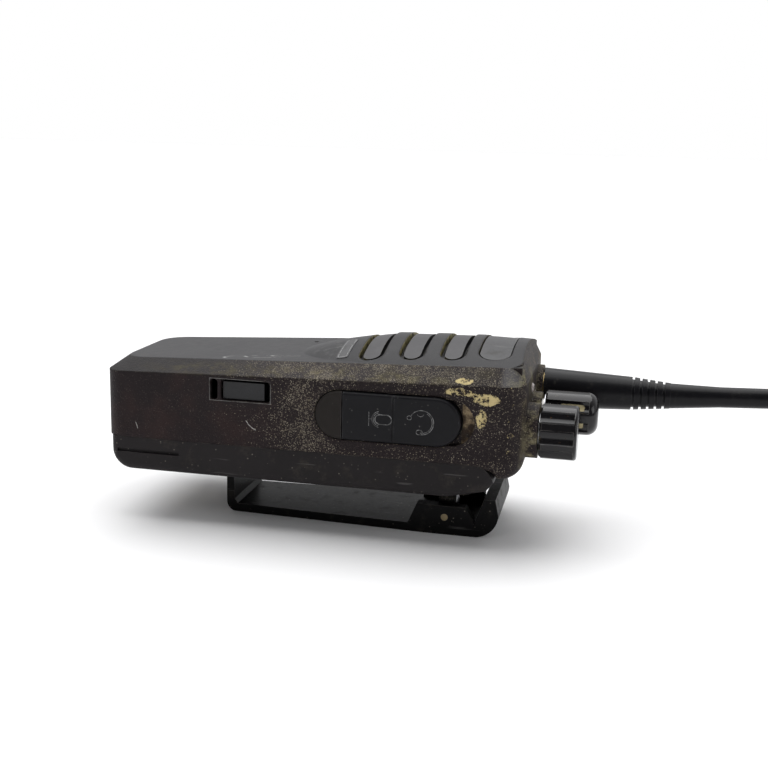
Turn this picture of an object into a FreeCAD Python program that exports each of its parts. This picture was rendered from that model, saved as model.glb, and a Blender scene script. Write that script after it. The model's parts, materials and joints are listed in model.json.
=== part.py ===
"""Portable two-way radio with a belt clip, as a parametric assembly. Millimetres.

Radio coordinates, which every size below is given in: X runs from the charging end of the case (0) to
the control deck (120) and on along the antenna, Y runs across, with the jack cover on the -Y side and
the push-to-talk key on the +Y side, and Z runs from the battery's back (0) out of the front face.
The document's frame has its origin under the middle of the whole object, on the surface that the belt
clip lies on, so every sub-part is shifted by -origin_x along X and by rest_height along Z.
"""
import FreeCAD, Part
import math
import os
import re
import Sketcher

DIMENSIONS = [
    # case
    ("case_length", 120.0), ("case_half", 27.5), ("wall", 2.2), ("deck_inner", 117.5),
    ("corner_radius", 5.5), ("seam_z", 10.0), ("lobe_z", 5.3), ("lobe_radius", 6.5),
    ("bevel_z", 29.0), ("bevel_slope", 0.0267), ("edge_z", 31.15), ("edge_slope", 0.046),
    ("face_low", 1.5), ("face_high", 118.5), ("face_half", 16.95), ("face_spread", 0.0491),
    ("face_corner", 7.0), ("deck_corner", 4.5), ("dome_rim", 0.4),
    ("inner_low", 7.0), ("inner_high", 112.0), ("back_end", 102.5),
    ("gap", 0.3), ("running_fit", 0.04),
    # grille and plates
    ("slot_first", 75.6), ("slot_pitch", 11.5), ("slot_half", 3.7), ("slot_reach", 18.8),
    ("island_gap", 1.3), ("carrier_thick", 1.2), ("label_x", 67.0), ("label_y", -9.0),
    ("label_half", 1.7), ("label_reach", 7.0), ("label_thick", 0.15), ("speaker_x", 87.0),
    ("speaker_z", 31.2), ("speaker_radius", 17.5),
    # controls on the deck
    ("volume_y", -16.5), ("volume_z", 18.3), ("volume_radius", 7.6), ("volume_end", 133.8),
    ("channel_y", 0.0), ("channel_z", 20.0), ("channel_radius", 6.1), ("channel_end", 138.6),
    ("knob_start", 123.6), ("collar_end", 123.2), ("bushing_radius", 3.5), ("shaft_radius", 3.0),
    ("antenna_y", 16.0), ("antenna_z", 23.4), ("sleeve_start", 121.9), ("sleeve_radius", 6.0),
    ("rib_start", 147.5), ("rib_pitch", 2.2), ("whip_start", 158.5), ("whip_length", 119.0),
    ("whip_rise", 2.4), ("whip_radius", 3.7), ("whip_mid", 14.0), ("tip_radius", 2.3),
    ("led_y", -7.6), ("led_z", 28.2), ("led_radius", 1.5),
    # sides
    ("cover_low", 62.8), ("cover_high", 103.2), ("cover_bottom", 14.6), ("cover_top", 28.0),
    ("cover_face", -28.7), ("cover_floor", -24.6), ("fold_x", 70.5), ("mic_jack_x", 81.1),
    ("ear_jack_x", 92.5), ("jack_z", 21.2), ("mic_bore", 1.3), ("ear_bore", 1.8),
    ("window_low", 32.1), ("window_rib", 34.8), ("window_high", 49.7), ("window_bottom", 22.9),
    ("window_top", 28.9), ("key_face", 28.9),
    # chassis and boards
    ("chassis_half", 23.0), ("chassis_low", 4.0), ("chassis_high", 106.5), ("chassis_z", 16.2),
    ("chassis_thick", 1.6), ("board_z", 19.2), ("board_thick", 1.2), ("board_half", 20.5),
    # battery
    ("battery_low", 1.5), ("battery_half", 27.2), ("battery_top", 9.85), ("nose_x", 112.4),
    ("cell_box_low", 20.0), ("cell_box_high", 100.0), ("cell_box_half", 19.6), ("cell_box_top", 15.5),
    # belt clip
    ("rest_height", 15.0), ("blade_thick", 2.5), ("tip_x", 31.2), ("pivot_x", 97.6), ("pivot_z", -9.9),
    ("pin_radius", 1.0), ("tip_half", 11.5), ("heel_half", 14.5), ("clip_end", 113.0),
    ("lug_inner", 7.6), ("lug_outer", 10.2), ("cheek_inner", 11.0),
    # the object's own origin
    ("origin_x", 139.65), ("origin_y", 0.1),
]
ALIASES = {alias for alias, value in DIMENSIONS}
UP = FreeCAD.Vector(0, 0, 1)

doc = FreeCAD.newDocument("portable_radio")
dims = doc.addObject("Spreadsheet::Sheet", "dims")
for row, (alias, size) in enumerate(DIMENSIONS, start=1):
    dims.set(f"A{row}", alias)
    dims.set(f"B{row}", str(size))
    dims.setAlias(f"B{row}", alias)
doc.recompute()

sub_parts = []
spots = {}


# ---- expressions, primitives and booleans ----------------------------------------------------------

def formula(text):
    """The expression with each alias read from the sheet."""
    return re.sub(r"[a-z_]+", lambda word: "dims." + word[0] if word[0] in ALIASES else word[0], str(text))


def size_of(text):
    """The number that an expression has now."""
    return float(dims.evalExpression(str(text)))


def bind(thing, **sizes):
    for name, text in sizes.items():
        thing.setExpression(name, formula(text))


def place(thing, x=0, y=0, z=0, rotation=None):
    """Puts a thing at a point given by three expressions."""
    if rotation:
        thing.Placement = FreeCAD.Placement(FreeCAD.Vector(), rotation)
    spots[thing.Name] = (x, y, z)
    for axis, text in zip("xyz", (x, y, z)):
        thing.setExpression(f"Placement.Base.{axis}", formula(text))
    return thing


def box(x0, x1, y0, y1, z0, z1):
    solid = doc.addObject("Part::Box", "box")
    bind(solid, Length=f"({x1})-({x0})", Width=f"({y1})-({y0})", Height=f"({z1})-({z0})")
    return place(solid, x0, y0, z0)


TURNS = {
    "x": FreeCAD.Rotation(FreeCAD.Vector(0, 1, 0), 90),
    "y": FreeCAD.Rotation(FreeCAD.Vector(1, 0, 0), -90),
    "z": FreeCAD.Rotation(),
}


def rod(axis, x, y, z, radius, length):
    """A cylinder that starts at x, y, z and runs along +axis."""
    solid = doc.addObject("Part::Cylinder", "rod")
    bind(solid, Radius=radius, Height=length)
    return place(solid, x, y, z, TURNS[axis])


def taper(axis, x, y, z, radius0, radius1, length):
    solid = doc.addObject("Part::Cone", "taper")
    bind(solid, Radius1=radius0, Radius2=radius1, Height=length)
    return place(solid, x, y, z, TURNS[axis])


def ring(axis, x, y, z, radius, thickness):
    solid = doc.addObject("Part::Torus", "ring")
    bind(solid, Radius1=radius, Radius2=thickness)
    return place(solid, x, y, z, TURNS[axis])


def joined(kind, name, solids):
    result = doc.addObject(kind, name)
    result.Shapes = solids
    spots[result.Name] = (0, 0, 0)
    return result


def fuse(*solids):
    return joined("Part::MultiFuse", "fuse", list(solids)) if len(solids) > 1 else solids[0]


def common(*solids):
    return joined("Part::MultiCommon", "common", list(solids))


def cut(base, *tools):
    result = doc.addObject("Part::Cut", "cut")
    result.Base = base
    result.Tool = fuse(*tools)
    spots[result.Name] = (0, 0, 0)
    return result


def group(*solids):
    """Separate solids that are one sub-part, such as a set of screws."""
    result = doc.addObject("Part::Compound", "group")
    result.Links = list(solids)
    spots[result.Name] = (0, 0, 0)
    return result


def rounded(base, radius, chosen):
    """Rounds the edges that chosen(edge) picks."""
    doc.recompute()
    result = doc.addObject("Part::Fillet", "rounded")
    result.Base = base
    size = size_of(radius)
    result.Edges = [(i, size, size) for i, edge in enumerate(base.Shape.Edges, start=1) if chosen(edge)]
    spots[result.Name] = (0, 0, 0)
    return result


def runs_along(edge, direction):
    ends = edge.Vertexes
    if len(ends) < 2 or edge.Curve.TypeId != "Part::GeomLine":
        return False
    run = (ends[1].Point - ends[0].Point).normalize()
    return abs(run.dot(direction)) > 0.999


def add(label, thing):
    """Makes a thing a sub-part: names it and moves it into the object's own frame."""
    thing.Label = label
    x, y, z = spots.get(thing.Name, (0, 0, 0))
    place(thing, f"({x})-origin_x", f"({y})-origin_y", f"({z})+rest_height", thing.Placement.Rotation)
    sub_parts.append(thing)
    return thing


# ---- sketches and PartDesign features --------------------------------------------------------------

def new_body(name):
    return doc.addObject("PartDesign::Body", name)


# Where a sketch's own x, y and normal point, and so how an offset along the world axis is written.
PLANES = {"XY_Plane": ("z", 1), "XZ_Plane": ("y", -1), "YZ_Plane": ("x", 1)}


def new_sketch(body, role, offset="0"):
    sketch = body.newObject("Sketcher::SketchObject", "sketch")
    plane = next(item for item in body.Origin.OriginFeatures if item.Role == role)
    sketch.AttachmentSupport = [(plane, "")]
    sketch.MapMode = "FlatFace"
    sign = PLANES[role][1]
    sketch.setExpression("AttachmentOffset.Base.z", formula(f"{sign}*({offset})"))
    return sketch


def datum(sketch, kind, text, *where):
    index = sketch.addConstraint(Sketcher.Constraint(kind, *where, size_of(text)))
    sketch.setExpression(f"Constraints[{index}]", formula(text))


def pin_point(sketch, geometry, end, x, y):
    datum(sketch, "DistanceX", x, -1, 1, geometry, end)
    datum(sketch, "DistanceY", y, -1, 1, geometry, end)


def circle(sketch, x, y, radius):
    centre = FreeCAD.Vector(size_of(x), size_of(y), 0)
    index = sketch.addGeometry(Part.Circle(centre, UP, size_of(radius)), False)
    datum(sketch, "Radius", radius, index)
    pin_point(sketch, index, 3, x, y)


def arc_between(start, end, radius, turn):
    """The short arc from start to end; turn is +1 counter-clockwise, -1 clockwise."""
    half = (end - start) * 0.5
    height = math.sqrt(max(radius ** 2 - half.Length ** 2, 0.0))
    side = FreeCAD.Vector(-half.y, half.x, 0).normalize()
    centre = start + half + side * (height * turn)
    angles = [math.atan2(point.y - centre.y, point.x - centre.x) for point in (start, end)]
    if turn < 0:
        angles.reverse()
    return Part.ArcOfCircle(Part.Circle(centre, UP, radius), angles[0], angles[1])


def outline(sketch, points):
    """A closed outline. Each point is (x, y), or (x, y, radius, turn) where an arc leads to the next."""
    corners = [FreeCAD.Vector(size_of(point[0]), size_of(point[1]), 0) for point in points]
    ends = []
    for i, point in enumerate(points):
        start, end = corners[i], corners[(i + 1) % len(points)]
        if len(point) == 2:
            index = sketch.addGeometry(Part.LineSegment(start, end), False)
            ends.append((index, 1, 2))
        else:
            arc = arc_between(start, end, size_of(point[2]), point[3])
            index = sketch.addGeometry(arc, False)
            ends.append((index, 1, 2) if point[3] > 0 else (index, 2, 1))
    for i, point in enumerate(points):
        this, after = ends[i], ends[(i + 1) % len(points)]
        sketch.addConstraint(Sketcher.Constraint("Coincident", this[0], this[2], after[0], after[1]))
        pin_point(sketch, this[0], this[1], point[0], point[1])
        if len(point) > 2:
            datum(sketch, "Radius", point[2], this[0])


def rectangle(sketch, x0, x1, y0, y1):
    outline(sketch, [(x0, y0), (x1, y0), (x1, y1), (x0, y1)])


def rounded_rectangle(sketch, x0, x1, y0, y1, radius):
    """Four sides and four quarter arcs, counter-clockwise."""
    left, right = f"({x0})+({radius})", f"({x1})-({radius})"
    low, high = f"({y0})+({radius})", f"({y1})-({radius})"
    outline(sketch, [
        (left, y0), (right, y0, radius, 1), (x1, low), (x1, high, radius, 1),
        (right, y1), (left, y1, radius, 1), (x0, high), (x0, low, radius, 1),
    ])


def pill(sketch, x0, x1, y0, y1):
    """A slot with round ends, along whichever side is longer."""
    if size_of(f"({x1})-({x0})") > size_of(f"({y1})-({y0})"):
        radius = f"(({y1})-({y0}))/2"
        left, right = f"({x0})+{radius}", f"({x1})-{radius}"
        mid = f"(({y0})+({y1}))/2"
        points = [(left, y0), (right, y0, radius, 1), (x1, mid, radius, 1), (right, y1),
                  (left, y1, radius, 1), (x0, mid, radius, 1)]
    else:
        radius = f"(({x1})-({x0}))/2"
        low, high = f"({y0})+{radius}", f"({y1})-{radius}"
        mid = f"(({x0})+({x1}))/2"
        points = [(x0, low, radius, 1), (mid, y0, radius, 1), (x1, low), (x1, high, radius, 1),
                  (mid, y1, radius, 1), (x0, high)]
    outline(sketch, points)


def extrude(body, kind, role, low, high, draw, *sizes):
    """Pads or pockets what draw() draws, from low to high along the plane's own axis."""
    from_high = (kind == "Pad") == (PLANES[role][1] < 0)
    sketch = new_sketch(body, role, high if from_high else low)
    draw(sketch, *sizes)
    feature = body.newObject(f"PartDesign::{kind}", kind.lower())
    feature.Profile = sketch
    bind(feature, Length=f"({high})-({low})")
    doc.recompute()
    return feature


def pad(body, role, low, high, draw, *sizes):
    return extrude(body, "Pad", role, low, high, draw, *sizes)


def pocket(body, role, low, high, draw, *sizes):
    before = body.Shape.Volume
    feature = extrude(body, "Pocket", role, low, high, draw, *sizes)
    if not body.Shape.Volume < before - 0.01:
        raise RuntimeError(f"a pocket of {body.Label} cuts nothing")
    return feature


def edges_of(feature, chosen):
    return [f"Edge{i}" for i, edge in enumerate(feature.Shape.Edges, start=1) if chosen(edge)]


def dress(body, kind, size, chosen):
    """A PartDesign Fillet or Chamfer on the chosen edges of the body so far."""
    base = body.Tip
    names = edges_of(base, chosen)
    feature = body.newObject(f"PartDesign::{kind}", kind.lower())
    feature.Base = (base, names)
    bind(feature, **{"Radius" if kind == "Fillet" else "Size": size})
    doc.recompute()
    return feature


def at(edge, **near):
    """True if the edge's middle lies within 0.2 mm of every coordinate given."""
    middle = edge.CenterOfMass
    return all(abs(getattr(middle, axis) - number) < 0.2 for axis, number in near.items())


# ---- the front face: flat towards the charging end, domed over the grille -------------------------------

FACE_TILT = math.degrees(math.atan(size_of("edge_slope")))

# Where the dome's sections are, and how far its middle stands above the face's edges there.
DOME = [
    (50, -0.7), (54, 0.7), (58, 1.75), (62, 2.55), (66, 3.15), (70, 3.7), (73, 4.2), (76, 4.62), (79, 4.85),
    (83, 4.88), (92, 4.72), (100, 4.5), (104, 4.35), (108, 4.1), (112, 3.7), (115, 3.3), (118.4, 2.75),
]
DOME_FULL = 76


def face_width(x):
    """Half of the face's width at x; it widens towards the deck."""
    return f"(face_half+(({x})-face_low)*face_spread)"


def edge_height(x):
    return f"(edge_z+({x})*edge_slope)"


def dome_radius(x, rise):
    """The round of one section, through both rims of the face; the nose before them keeps its round."""
    if x < DOME_FULL:
        x, rise = DOME_FULL, dict(DOME)[DOME_FULL]
    reach = f"({face_width(x)}-dome_rim)"
    return f"(({reach}^2+{rise}^2)/(2*{rise}))"


def dome_section(sketch, x, rise, inset, reach, depth):
    """One section of the dome, inset from its surface, down to depth below the face's edges."""
    radius = f"({dome_radius(x, rise)}-({inset}))"
    reach = reach or f"({face_width(x)}-0.1)"
    top, floor = f"({edge_height(x)}+({rise})-({inset}))", f"({edge_height(x)}-{depth})"
    shoulder = f"({top}-{radius}+sqrt({radius}^2-{reach}^2))"
    outline(sketch, [(f"-{reach}", floor), (reach, floor), (reach, shoulder, radius, 1),
                     (f"-{reach}", shoulder)])


def dome_feature(body, kind, inset, reach, depth, low, high):
    """Adds the dome to a body, or cuts the same form, inset, out of it."""
    sketches = []
    for x, rise in DOME:
        if low <= x <= high:
            sketches.append(new_sketch(body, "YZ_Plane", str(x)))
            dome_section(sketches[-1], x, rise, inset, reach, depth)
    feature = body.newObject(f"PartDesign::{kind}", "dome")
    feature.Profile = sketches[0]
    feature.Sections = sketches[1:]
    feature.Ruled = True
    doc.recompute()


def dome_solid(inset):
    """The dome as a tool, wide and deep enough to trim what lies under it."""
    sketches = []
    for x, rise in DOME:
        sketch = doc.addObject("Sketcher::SketchObject", "dome_line")
        sketch.Placement = FreeCAD.Placement(
            FreeCAD.Vector(x, 0, 0), FreeCAD.Rotation(FreeCAD.Vector(1, 1, 1), 120))
        dome_section(sketch, x, rise, inset, "24", 14)
        sketches.append(sketch)
    solid = doc.addObject("Part::Loft", "dome")
    solid.Sections = sketches
    solid.Solid = True
    solid.Ruled = True
    spots[solid.Name] = (0, 0, 0)
    return solid


def tilt_sketch(sketch, x):
    """Leans a sketch on the YZ plane back, so that its origin is on the face edge's height at x."""
    lean = FreeCAD.Rotation(FreeCAD.Vector(1, 0, 0), -FACE_TILT)
    sketch.AttachmentOffset = FreeCAD.Placement(FreeCAD.Vector(), lean)
    sketch.setExpression("AttachmentOffset.Base.y", formula(edge_height(x)))
    sketch.setExpression("AttachmentOffset.Base.z", formula(x))


def slot_prism(centre, half, reach, low, high):
    """An upright bar with round ends, along Y."""
    side = f"(({reach})-({half}))"
    straight = box(f"{centre}-{half}", f"{centre}+{half}", f"-{side}", side, low, high)
    ends = [rod("z", centre, f"{sign}*{side}", low, half, f"({high})-({low})") for sign in (-1, 1)]
    return fuse(straight, *ends)


def slot_centre(number):
    return f"(slot_first+{number}*slot_pitch)"


# ---- front housing ---------------------------------------------------------------------------------

def lie_sketch(sketch, height, slope):
    """Lays a sketch on a plane that rises towards the deck."""
    lean = FreeCAD.Rotation(FreeCAD.Vector(0, 1, 0), -math.degrees(math.atan(size_of(slope))))
    sketch.AttachmentOffset = FreeCAD.Placement(FreeCAD.Vector(), lean)
    sketch.setExpression("AttachmentOffset.Base.z", formula(height))
    return sketch


def case_section(body, height, slope):
    """One level of the case's sides."""
    sketch = lie_sketch(new_sketch(body, "XY_Plane"), height, slope)
    rounded_rectangle(sketch, "0", "case_length", "-case_half", "case_half", "corner_radius")
    return sketch


def face_outline(sketch):
    """The rim of the front face, with round corners, wider towards the deck."""
    low, high = "(face_low+face_corner)", "(face_high-deck_corner)"
    low_y, high_y = face_width(low), face_width(high)
    end_low, end_high = "(face_half-face_corner)", f"({face_width('face_high')}-deck_corner)"
    outline(sketch, [
        (low, f"-{low_y}"), (high, f"-{high_y}", "deck_corner", 1),
        ("face_high", f"-{end_high}"), ("face_high", end_high, "deck_corner", 1),
        (high, high_y), (low, low_y, "face_corner", 1),
        ("face_low", end_low), ("face_low", f"-{end_low}", "face_corner", 1),
    ])


def inner_profile(sketch, shoulder, depth):
    """The room inside the case, seen along it: flat ceiling, bevelled shoulders, upright sides."""
    half = "(case_half-wall)"
    steps = [(half, shoulder), ("23.2", "-3.75"), ("21", "-3.2"), ("17", "-2.3")]
    left = [(f"-{y}", z) for y, z in reversed(steps)]
    outline(sketch, [(f"-{half}", depth), (half, depth), *steps, *left])


def hollow(body, low, high, shoulder, depth):
    """Cuts the room inside the case from low to high along X."""
    sketch = new_sketch(body, "YZ_Plane", low)
    inner_profile(sketch, shoulder, depth)
    tilt_sketch(sketch, low)
    feature = body.newObject("PartDesign::Pocket", "hollow")
    feature.Profile = sketch
    feature.Reversed = True
    bind(feature, Length=f"({high})-({low})")
    doc.recompute()


def overhang(sketch):
    """Everything outside the rim of the front face."""
    face_outline(sketch)
    rectangle(sketch, "-20", "140", "-40", "40")


def deck_slope(sketch):
    """What lies past the slope from the front face down to the deck."""
    low, high = edge_height("face_high"), f"({edge_height('face_high')}+8)"
    outline(sketch, [("face_high+0.02", f"{low}-0.01"), ("130", f"{low}-0.01"), ("130", high),
                     ("face_high-2.7", high)])


def front_housing():
    body = new_body("housing_body")
    base = case_section(body, "lobe_z", "0")
    bevel = case_section(body, "bevel_z", "bevel_slope")
    face = lie_sketch(new_sketch(body, "XY_Plane"), "edge_z", "edge_slope")
    face_outline(face)
    loft = body.newObject("PartDesign::AdditiveLoft", "loft")
    loft.Profile = base
    loft.Sections = [bevel, face]
    loft.Ruled = True
    doc.recompute()
    dome_feature(body, "AdditiveLoft", "0", None, 6.5, 50, 118.4)

    rim = lie_sketch(new_sketch(body, "XY_Plane"), "edge_z", "edge_slope")
    overhang(rim)
    trim = body.newObject("PartDesign::Pocket", "rim_trim")
    trim.Profile = rim
    trim.Reversed = True
    bind(trim, Length="10")
    doc.recompute()
    pocket(body, "XZ_Plane", "-30", "30", deck_slope)

    pocket(body, "XZ_Plane", "-30", "30", battery_bay)
    outer_edges(body)
    hollow(body, "inner_low", "58", "-4.7", "-31")
    hollow(body, "56", "back_end", "-5.4", "-31")
    hollow(body, "back_end-3", "inner_high", "-5.4", "-20.5")
    dome_feature(body, "SubtractiveLoft", "wall+0.05", "19.6", 3.6, 70, 112)
    inside = ("-case_half+wall", "case_half-wall", "corner_radius-wall")
    pocket(body, "XY_Plane", "0", "27", rounded_rectangle, "wall", "back_end", *inside)
    pocket(body, "XY_Plane", "12.2", "30", rounded_rectangle, "back_end-6", "deck_inner", *inside)

    for x, y in CASE_POSTS:
        pad(body, "XY_Plane", "chassis_z+chassis_thick+0.1", "29.8", circle, str(x), str(y), "2.6")
        pocket(body, "XY_Plane", "chassis_z", "27.4", circle, str(x), str(y), "1.22")
    jack_wall(body)
    side_openings(body)
    deck(body)
    for number in range(4):
        centre = slot_centre(number)
        sides = (f"{centre}-slot_half", f"{centre}+slot_half", "-slot_reach", "slot_reach")
        if number == 3:
            sides = ("105.4", "114.6", "-18.4", "18.4")
        pocket(body, "XY_Plane", "31", "46", pill, *sides)
    pocket(body, "XY_Plane", "28", "40", circle, "52", "12", "0.7")
    return add("front_housing", body)


def battery_bay(sketch):
    """What the battery and its round nose leave free under the case."""
    outline(sketch, [
        ("-1", "0"), ("nose_x+0.5", "0"), ("nose_x+0.5", "lobe_z-0.1", "6.2", 1),
        ("106.9", "seam_z"), ("-1", "seam_z"),
    ])


def outer_edges(body):
    """Rounds the lobe under the deck."""
    dress(body, "Fillet", "lobe_radius", lambda edge: at(edge, x=size_of("case_length"), z=size_of("lobe_z")))


def jack_wall(body):
    """A thick stretch of the side wall, with the recess that the jack cover lies in."""
    pad(body, "XZ_Plane", "-25.5", "-23.3", rectangle, "60.2", "109.2", "12.4", "30.2")
    pocket(body, "XZ_Plane", "-29", "-22.8", pill, "cover_low-gap", "cover_high+gap",
           "cover_bottom-gap", "cover_top+gap")
    pocket(body, "XZ_Plane", "-29", "-26.1", pill, "cover_low+5", "cover_high+3.6",
           "cover_bottom+0.3", "cover_top-0.3")


KEYS = {
    "ptt_button": ("62", "90", "14", "27", "3"),
    "side_button_upper": ("94.5", "104.5", "15.5", "25.5", "2.5"),
    "side_button_lower": ("49.5", "59", "15.5", "25.5", "2.5"),
}


def side_openings(body):
    """Catch windows in both side walls and the three key openings in the +Y wall."""
    for low, high in (("-29", "-22.6"), ("22.6", "29")):
        for x0, x1 in (("window_low", "window_rib-0.4"), ("window_rib+0.4", "window_high")):
            pocket(body, "XZ_Plane", low, high, rounded_rectangle, x0, x1,
                   "window_bottom", "window_top", "1.1")
    for x0, x1, z0, z1, radius in KEYS.values():
        pocket(body, "XZ_Plane", "25", "29", rounded_rectangle, f"{x0}-gap", f"{x1}+gap",
               f"{z0}-gap", f"{z1}+gap", f"{radius}+gap")


def deck(body):
    """Raised collars round the two shafts and the antenna, and the bores through them."""
    deck_start = "case_length-0.4"
    pad(body, "YZ_Plane", deck_start, "collar_end", circle, "volume_y", "volume_z", "volume_radius")
    pad(body, "YZ_Plane", deck_start, "collar_end-0.6", circle,
        "channel_y", "channel_z", "channel_radius-0.6")
    pad(body, "YZ_Plane", deck_start, "sleeve_start-0.3", circle, "antenna_y", "antenna_z", "6.8")
    fit = "bushing_radius+running_fit"
    pocket(body, "YZ_Plane", "115", "124", circle, "volume_y", "volume_z", fit)
    pocket(body, "YZ_Plane", "115", "124", circle, "channel_y", "channel_z", fit)
    pocket(body, "YZ_Plane", "115", "124", circle, "antenna_y", "antenna_z", "5.04")
    pocket(body, "YZ_Plane", "115", "122", circle, "led_y", "led_z", "led_radius")


# ---- front face: grille, plates, speaker, microphone ------------------------------------------------

def speaker_grille():
    """Three bars that fill the housing's slots, on a curved carrier with sound slits."""
    under = "wall+0.15"
    carrier = cut(
        common(box("70.2", "111.4", "-19.4", "19.4", "20", "45"), dome_solid(under)),
        dome_solid(f"{under}+carrier_thick"),
    )
    bars = [
        slot_prism(slot_centre(number), "(slot_half-island_gap)", "(slot_reach-island_gap)", "33", "45")
        for number in range(3)
    ]
    islands = cut(
        common(fuse(*bars), dome_solid("0.4")),
        dome_solid(f"{under}+0.6"),
    )
    slits = []
    for number in range(3):
        for side in (-1, 1):
            middle = f"{slot_centre(number)}+{side}*(slot_half-island_gap/2)"
            slits.append(box(f"{middle}-0.35", f"{middle}+0.35", "-12", "12", "20", "45"))
    return add("speaker_grille", cut(fuse(carrier, islands), *slits))


def name_plate():
    """A blank plate with round ends, level with the front face, above the grille."""
    blank = slot_prism("110", "4.2", "17.6", "33", "46")
    upper = common(blank, dome_solid("0.3"))
    return add("name_plate", cut(upper, dome_solid("1.35")))


def plate_shelf():
    """The pad behind the name plate, bonded to the housing's ceiling."""
    shelf = slot_prism("110", "4.45", "18.25", "30", "46")
    upper = common(shelf, dome_solid("1.35"), box("105", "111.4", "-19", "19", "20", "46"))
    return add("name_plate_adhesive", cut(upper, dome_solid("1.75")))


def model_label():
    """A blank rounded label stuck on the front face, beside the grille."""
    span = ("label_x-label_half", "label_x+label_half", "label_y-label_reach", "label_y+label_reach")
    sheet = rounded(box(*span, "30", "46"), "0.8", lambda edge: runs_along(edge, UP))
    return add("model_label", cut(common(sheet, dome_solid("-label_thick")), dome_solid("0")))


def speaker():
    """Cloth, frame, cone, voice coil and magnet, from the grille inwards."""
    x, top = "speaker_x", "speaker_z"
    add("speaker_cloth", rod("z", x, 0, f"{top}", "speaker_radius", "0.4"))
    basket = cut(
        fuse(rod("z", x, 0, f"{top}-1.2", "speaker_radius", "1.2"),
             taper("z", x, 0, f"{top}-5.2", "9.6", "speaker_radius-1", "4")),
        taper("z", x, 0, f"{top}-4.4", "8.6", "speaker_radius-1.8", "4.4"),
        rod("z", x, 0, f"{top}-6", "7", "3"),
    )
    add("speaker_frame", basket)
    paper = cut(taper("z", x, 0, f"{top}-3.4", "5", "13.4", "3"),
                taper("z", x, 0, f"{top}-2.9", "5", "13.4", "3"))
    cap = taper("z", x, 0, f"{top}-3.4", "5", "1.5", "1.6")
    add("speaker_cone", fuse(paper, cap, ring("z", x, 0, f"{top}-0.55", "13.0", "0.35")))
    add("speaker_magnet", fuse(rod("z", x, 0, f"{top}-8.2", "8.8", "2.9"),
                               rod("z", x, 0, f"{top}-5.3", "5.2", "1.5")))


def microphone():
    """The capsule behind the pin hole in the face, in its rubber boot."""
    x, y = "52", "12"
    top = "30.9"
    add("microphone_capsule", rod("z", x, y, f"{top}-2.8", "3", "2.2"))
    boot = cut(rod("z", x, y, f"{top}-3.4", "3.9", "3.4"),
               rod("z", x, y, f"{top}-2.82", "3.02", "2.24"), rod("z", x, y, f"{top}-1", "0.7", "1.2"))
    add("microphone_boot", boot)


# ---- chassis, boards and screws --------------------------------------------------------------------

BOARD_POSTS = [(18, -17), (18, 17), (60, -17), (60, 17), (102, -17), (102, 17)]
CASE_POSTS = [(9.5, -19), (9.5, 19)]


def chassis():
    """Die-cast tray that closes the housing's back and carries the boards and the battery rails."""
    half, low, high, z = "chassis_half", "chassis_low", "chassis_high", "chassis_z"
    plate = box(low, high, f"-{half}", half, z, f"{z}+chassis_thick")
    skirts = [
        box(low, "back_end-1", f"-{half}", f"-{half}+1.4", "seam_z+0.4", z),
        box(low, "back_end-1", f"{half}-1.4", half, "seam_z+0.4", z),
        box(low, f"{low}+1.4", f"-{half}", half, "seam_z+0.4", z),
    ]
    rails = []
    for start in (26, 62):
        for side in (-1, 1):
            inner, outer = ("20.0", f"{half}-1.4") if side > 0 else (f"-{half}+1.4", "-20.0")
            rails.append(box(start, f"{start}+13", inner, outer, "11", "12.6"))
    tabs = []
    for side in (-1, 1):
        y0, y1 = (f"{half}-1.2", half) if side > 0 else (f"-{half}", f"-{half}+1.2")
        tabs.append(box("window_rib+0.9", "window_high-1.8", y0, y1, f"{z}+chassis_thick", "window_top-0.2"))
        y0, y1 = (half, "26.7") if side > 0 else ("-26.7", f"-{half}")
        tabs.append(box("window_rib+1.0", "window_high-1.9", y0, y1, "window_bottom+0.4", "window_top-0.8"))
    posts = [rod("z", x, y, f"{z}+chassis_thick", "2.2", "board_z-chassis_z-chassis_thick")
             for x, y in BOARD_POSTS]
    holes = [rod("z", x, y, z, "1.02", "6") for x, y in BOARD_POSTS]
    holes += [rod("z", x, y, "seam_z", "1.3", "10") for x, y in CASE_POSTS]
    holes += [rod("z", x, y, f"{z}-1", "2.3", "1.9") for x, y in CASE_POSTS]
    holes += [box("92", "99", "-9", "9", f"{z}-1", f"{z}+3")]
    return add("chassis", cut(fuse(plate, *skirts, *rails, *tabs, *posts), *holes))


def main_seal():
    """Rubber cord in the gap between the chassis and the housing wall."""
    outer = box("wall", "back_end", "-case_half+wall", "case_half-wall", "10.8", "12.2")
    outer = rounded(outer, "corner_radius-wall", lambda edge: runs_along(edge, UP) and at_low_end(edge))
    inner = box("chassis_low", "back_end+1", "-chassis_half", "chassis_half", "10", "13")
    return add("main_seal", cut(outer, inner))


def at_low_end(edge):
    return edge.CenterOfMass.x < size_of("wall") + 1


def main_board():
    """The circuit board, notched for the jacks and the speaker magnet."""
    board = box("13.5", "chassis_high-0.5", "-board_half", "board_half", "board_z", "board_z+board_thick")
    notch = box("72.7", "99.9", "-board_half-1", "-5.5", "board_z-1", "board_z+3")
    holes = [rod("z", x, y, "board_z-1", "1.1", "4") for x, y in BOARD_POSTS]
    return add("main_board", cut(board, notch, *holes))


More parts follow.
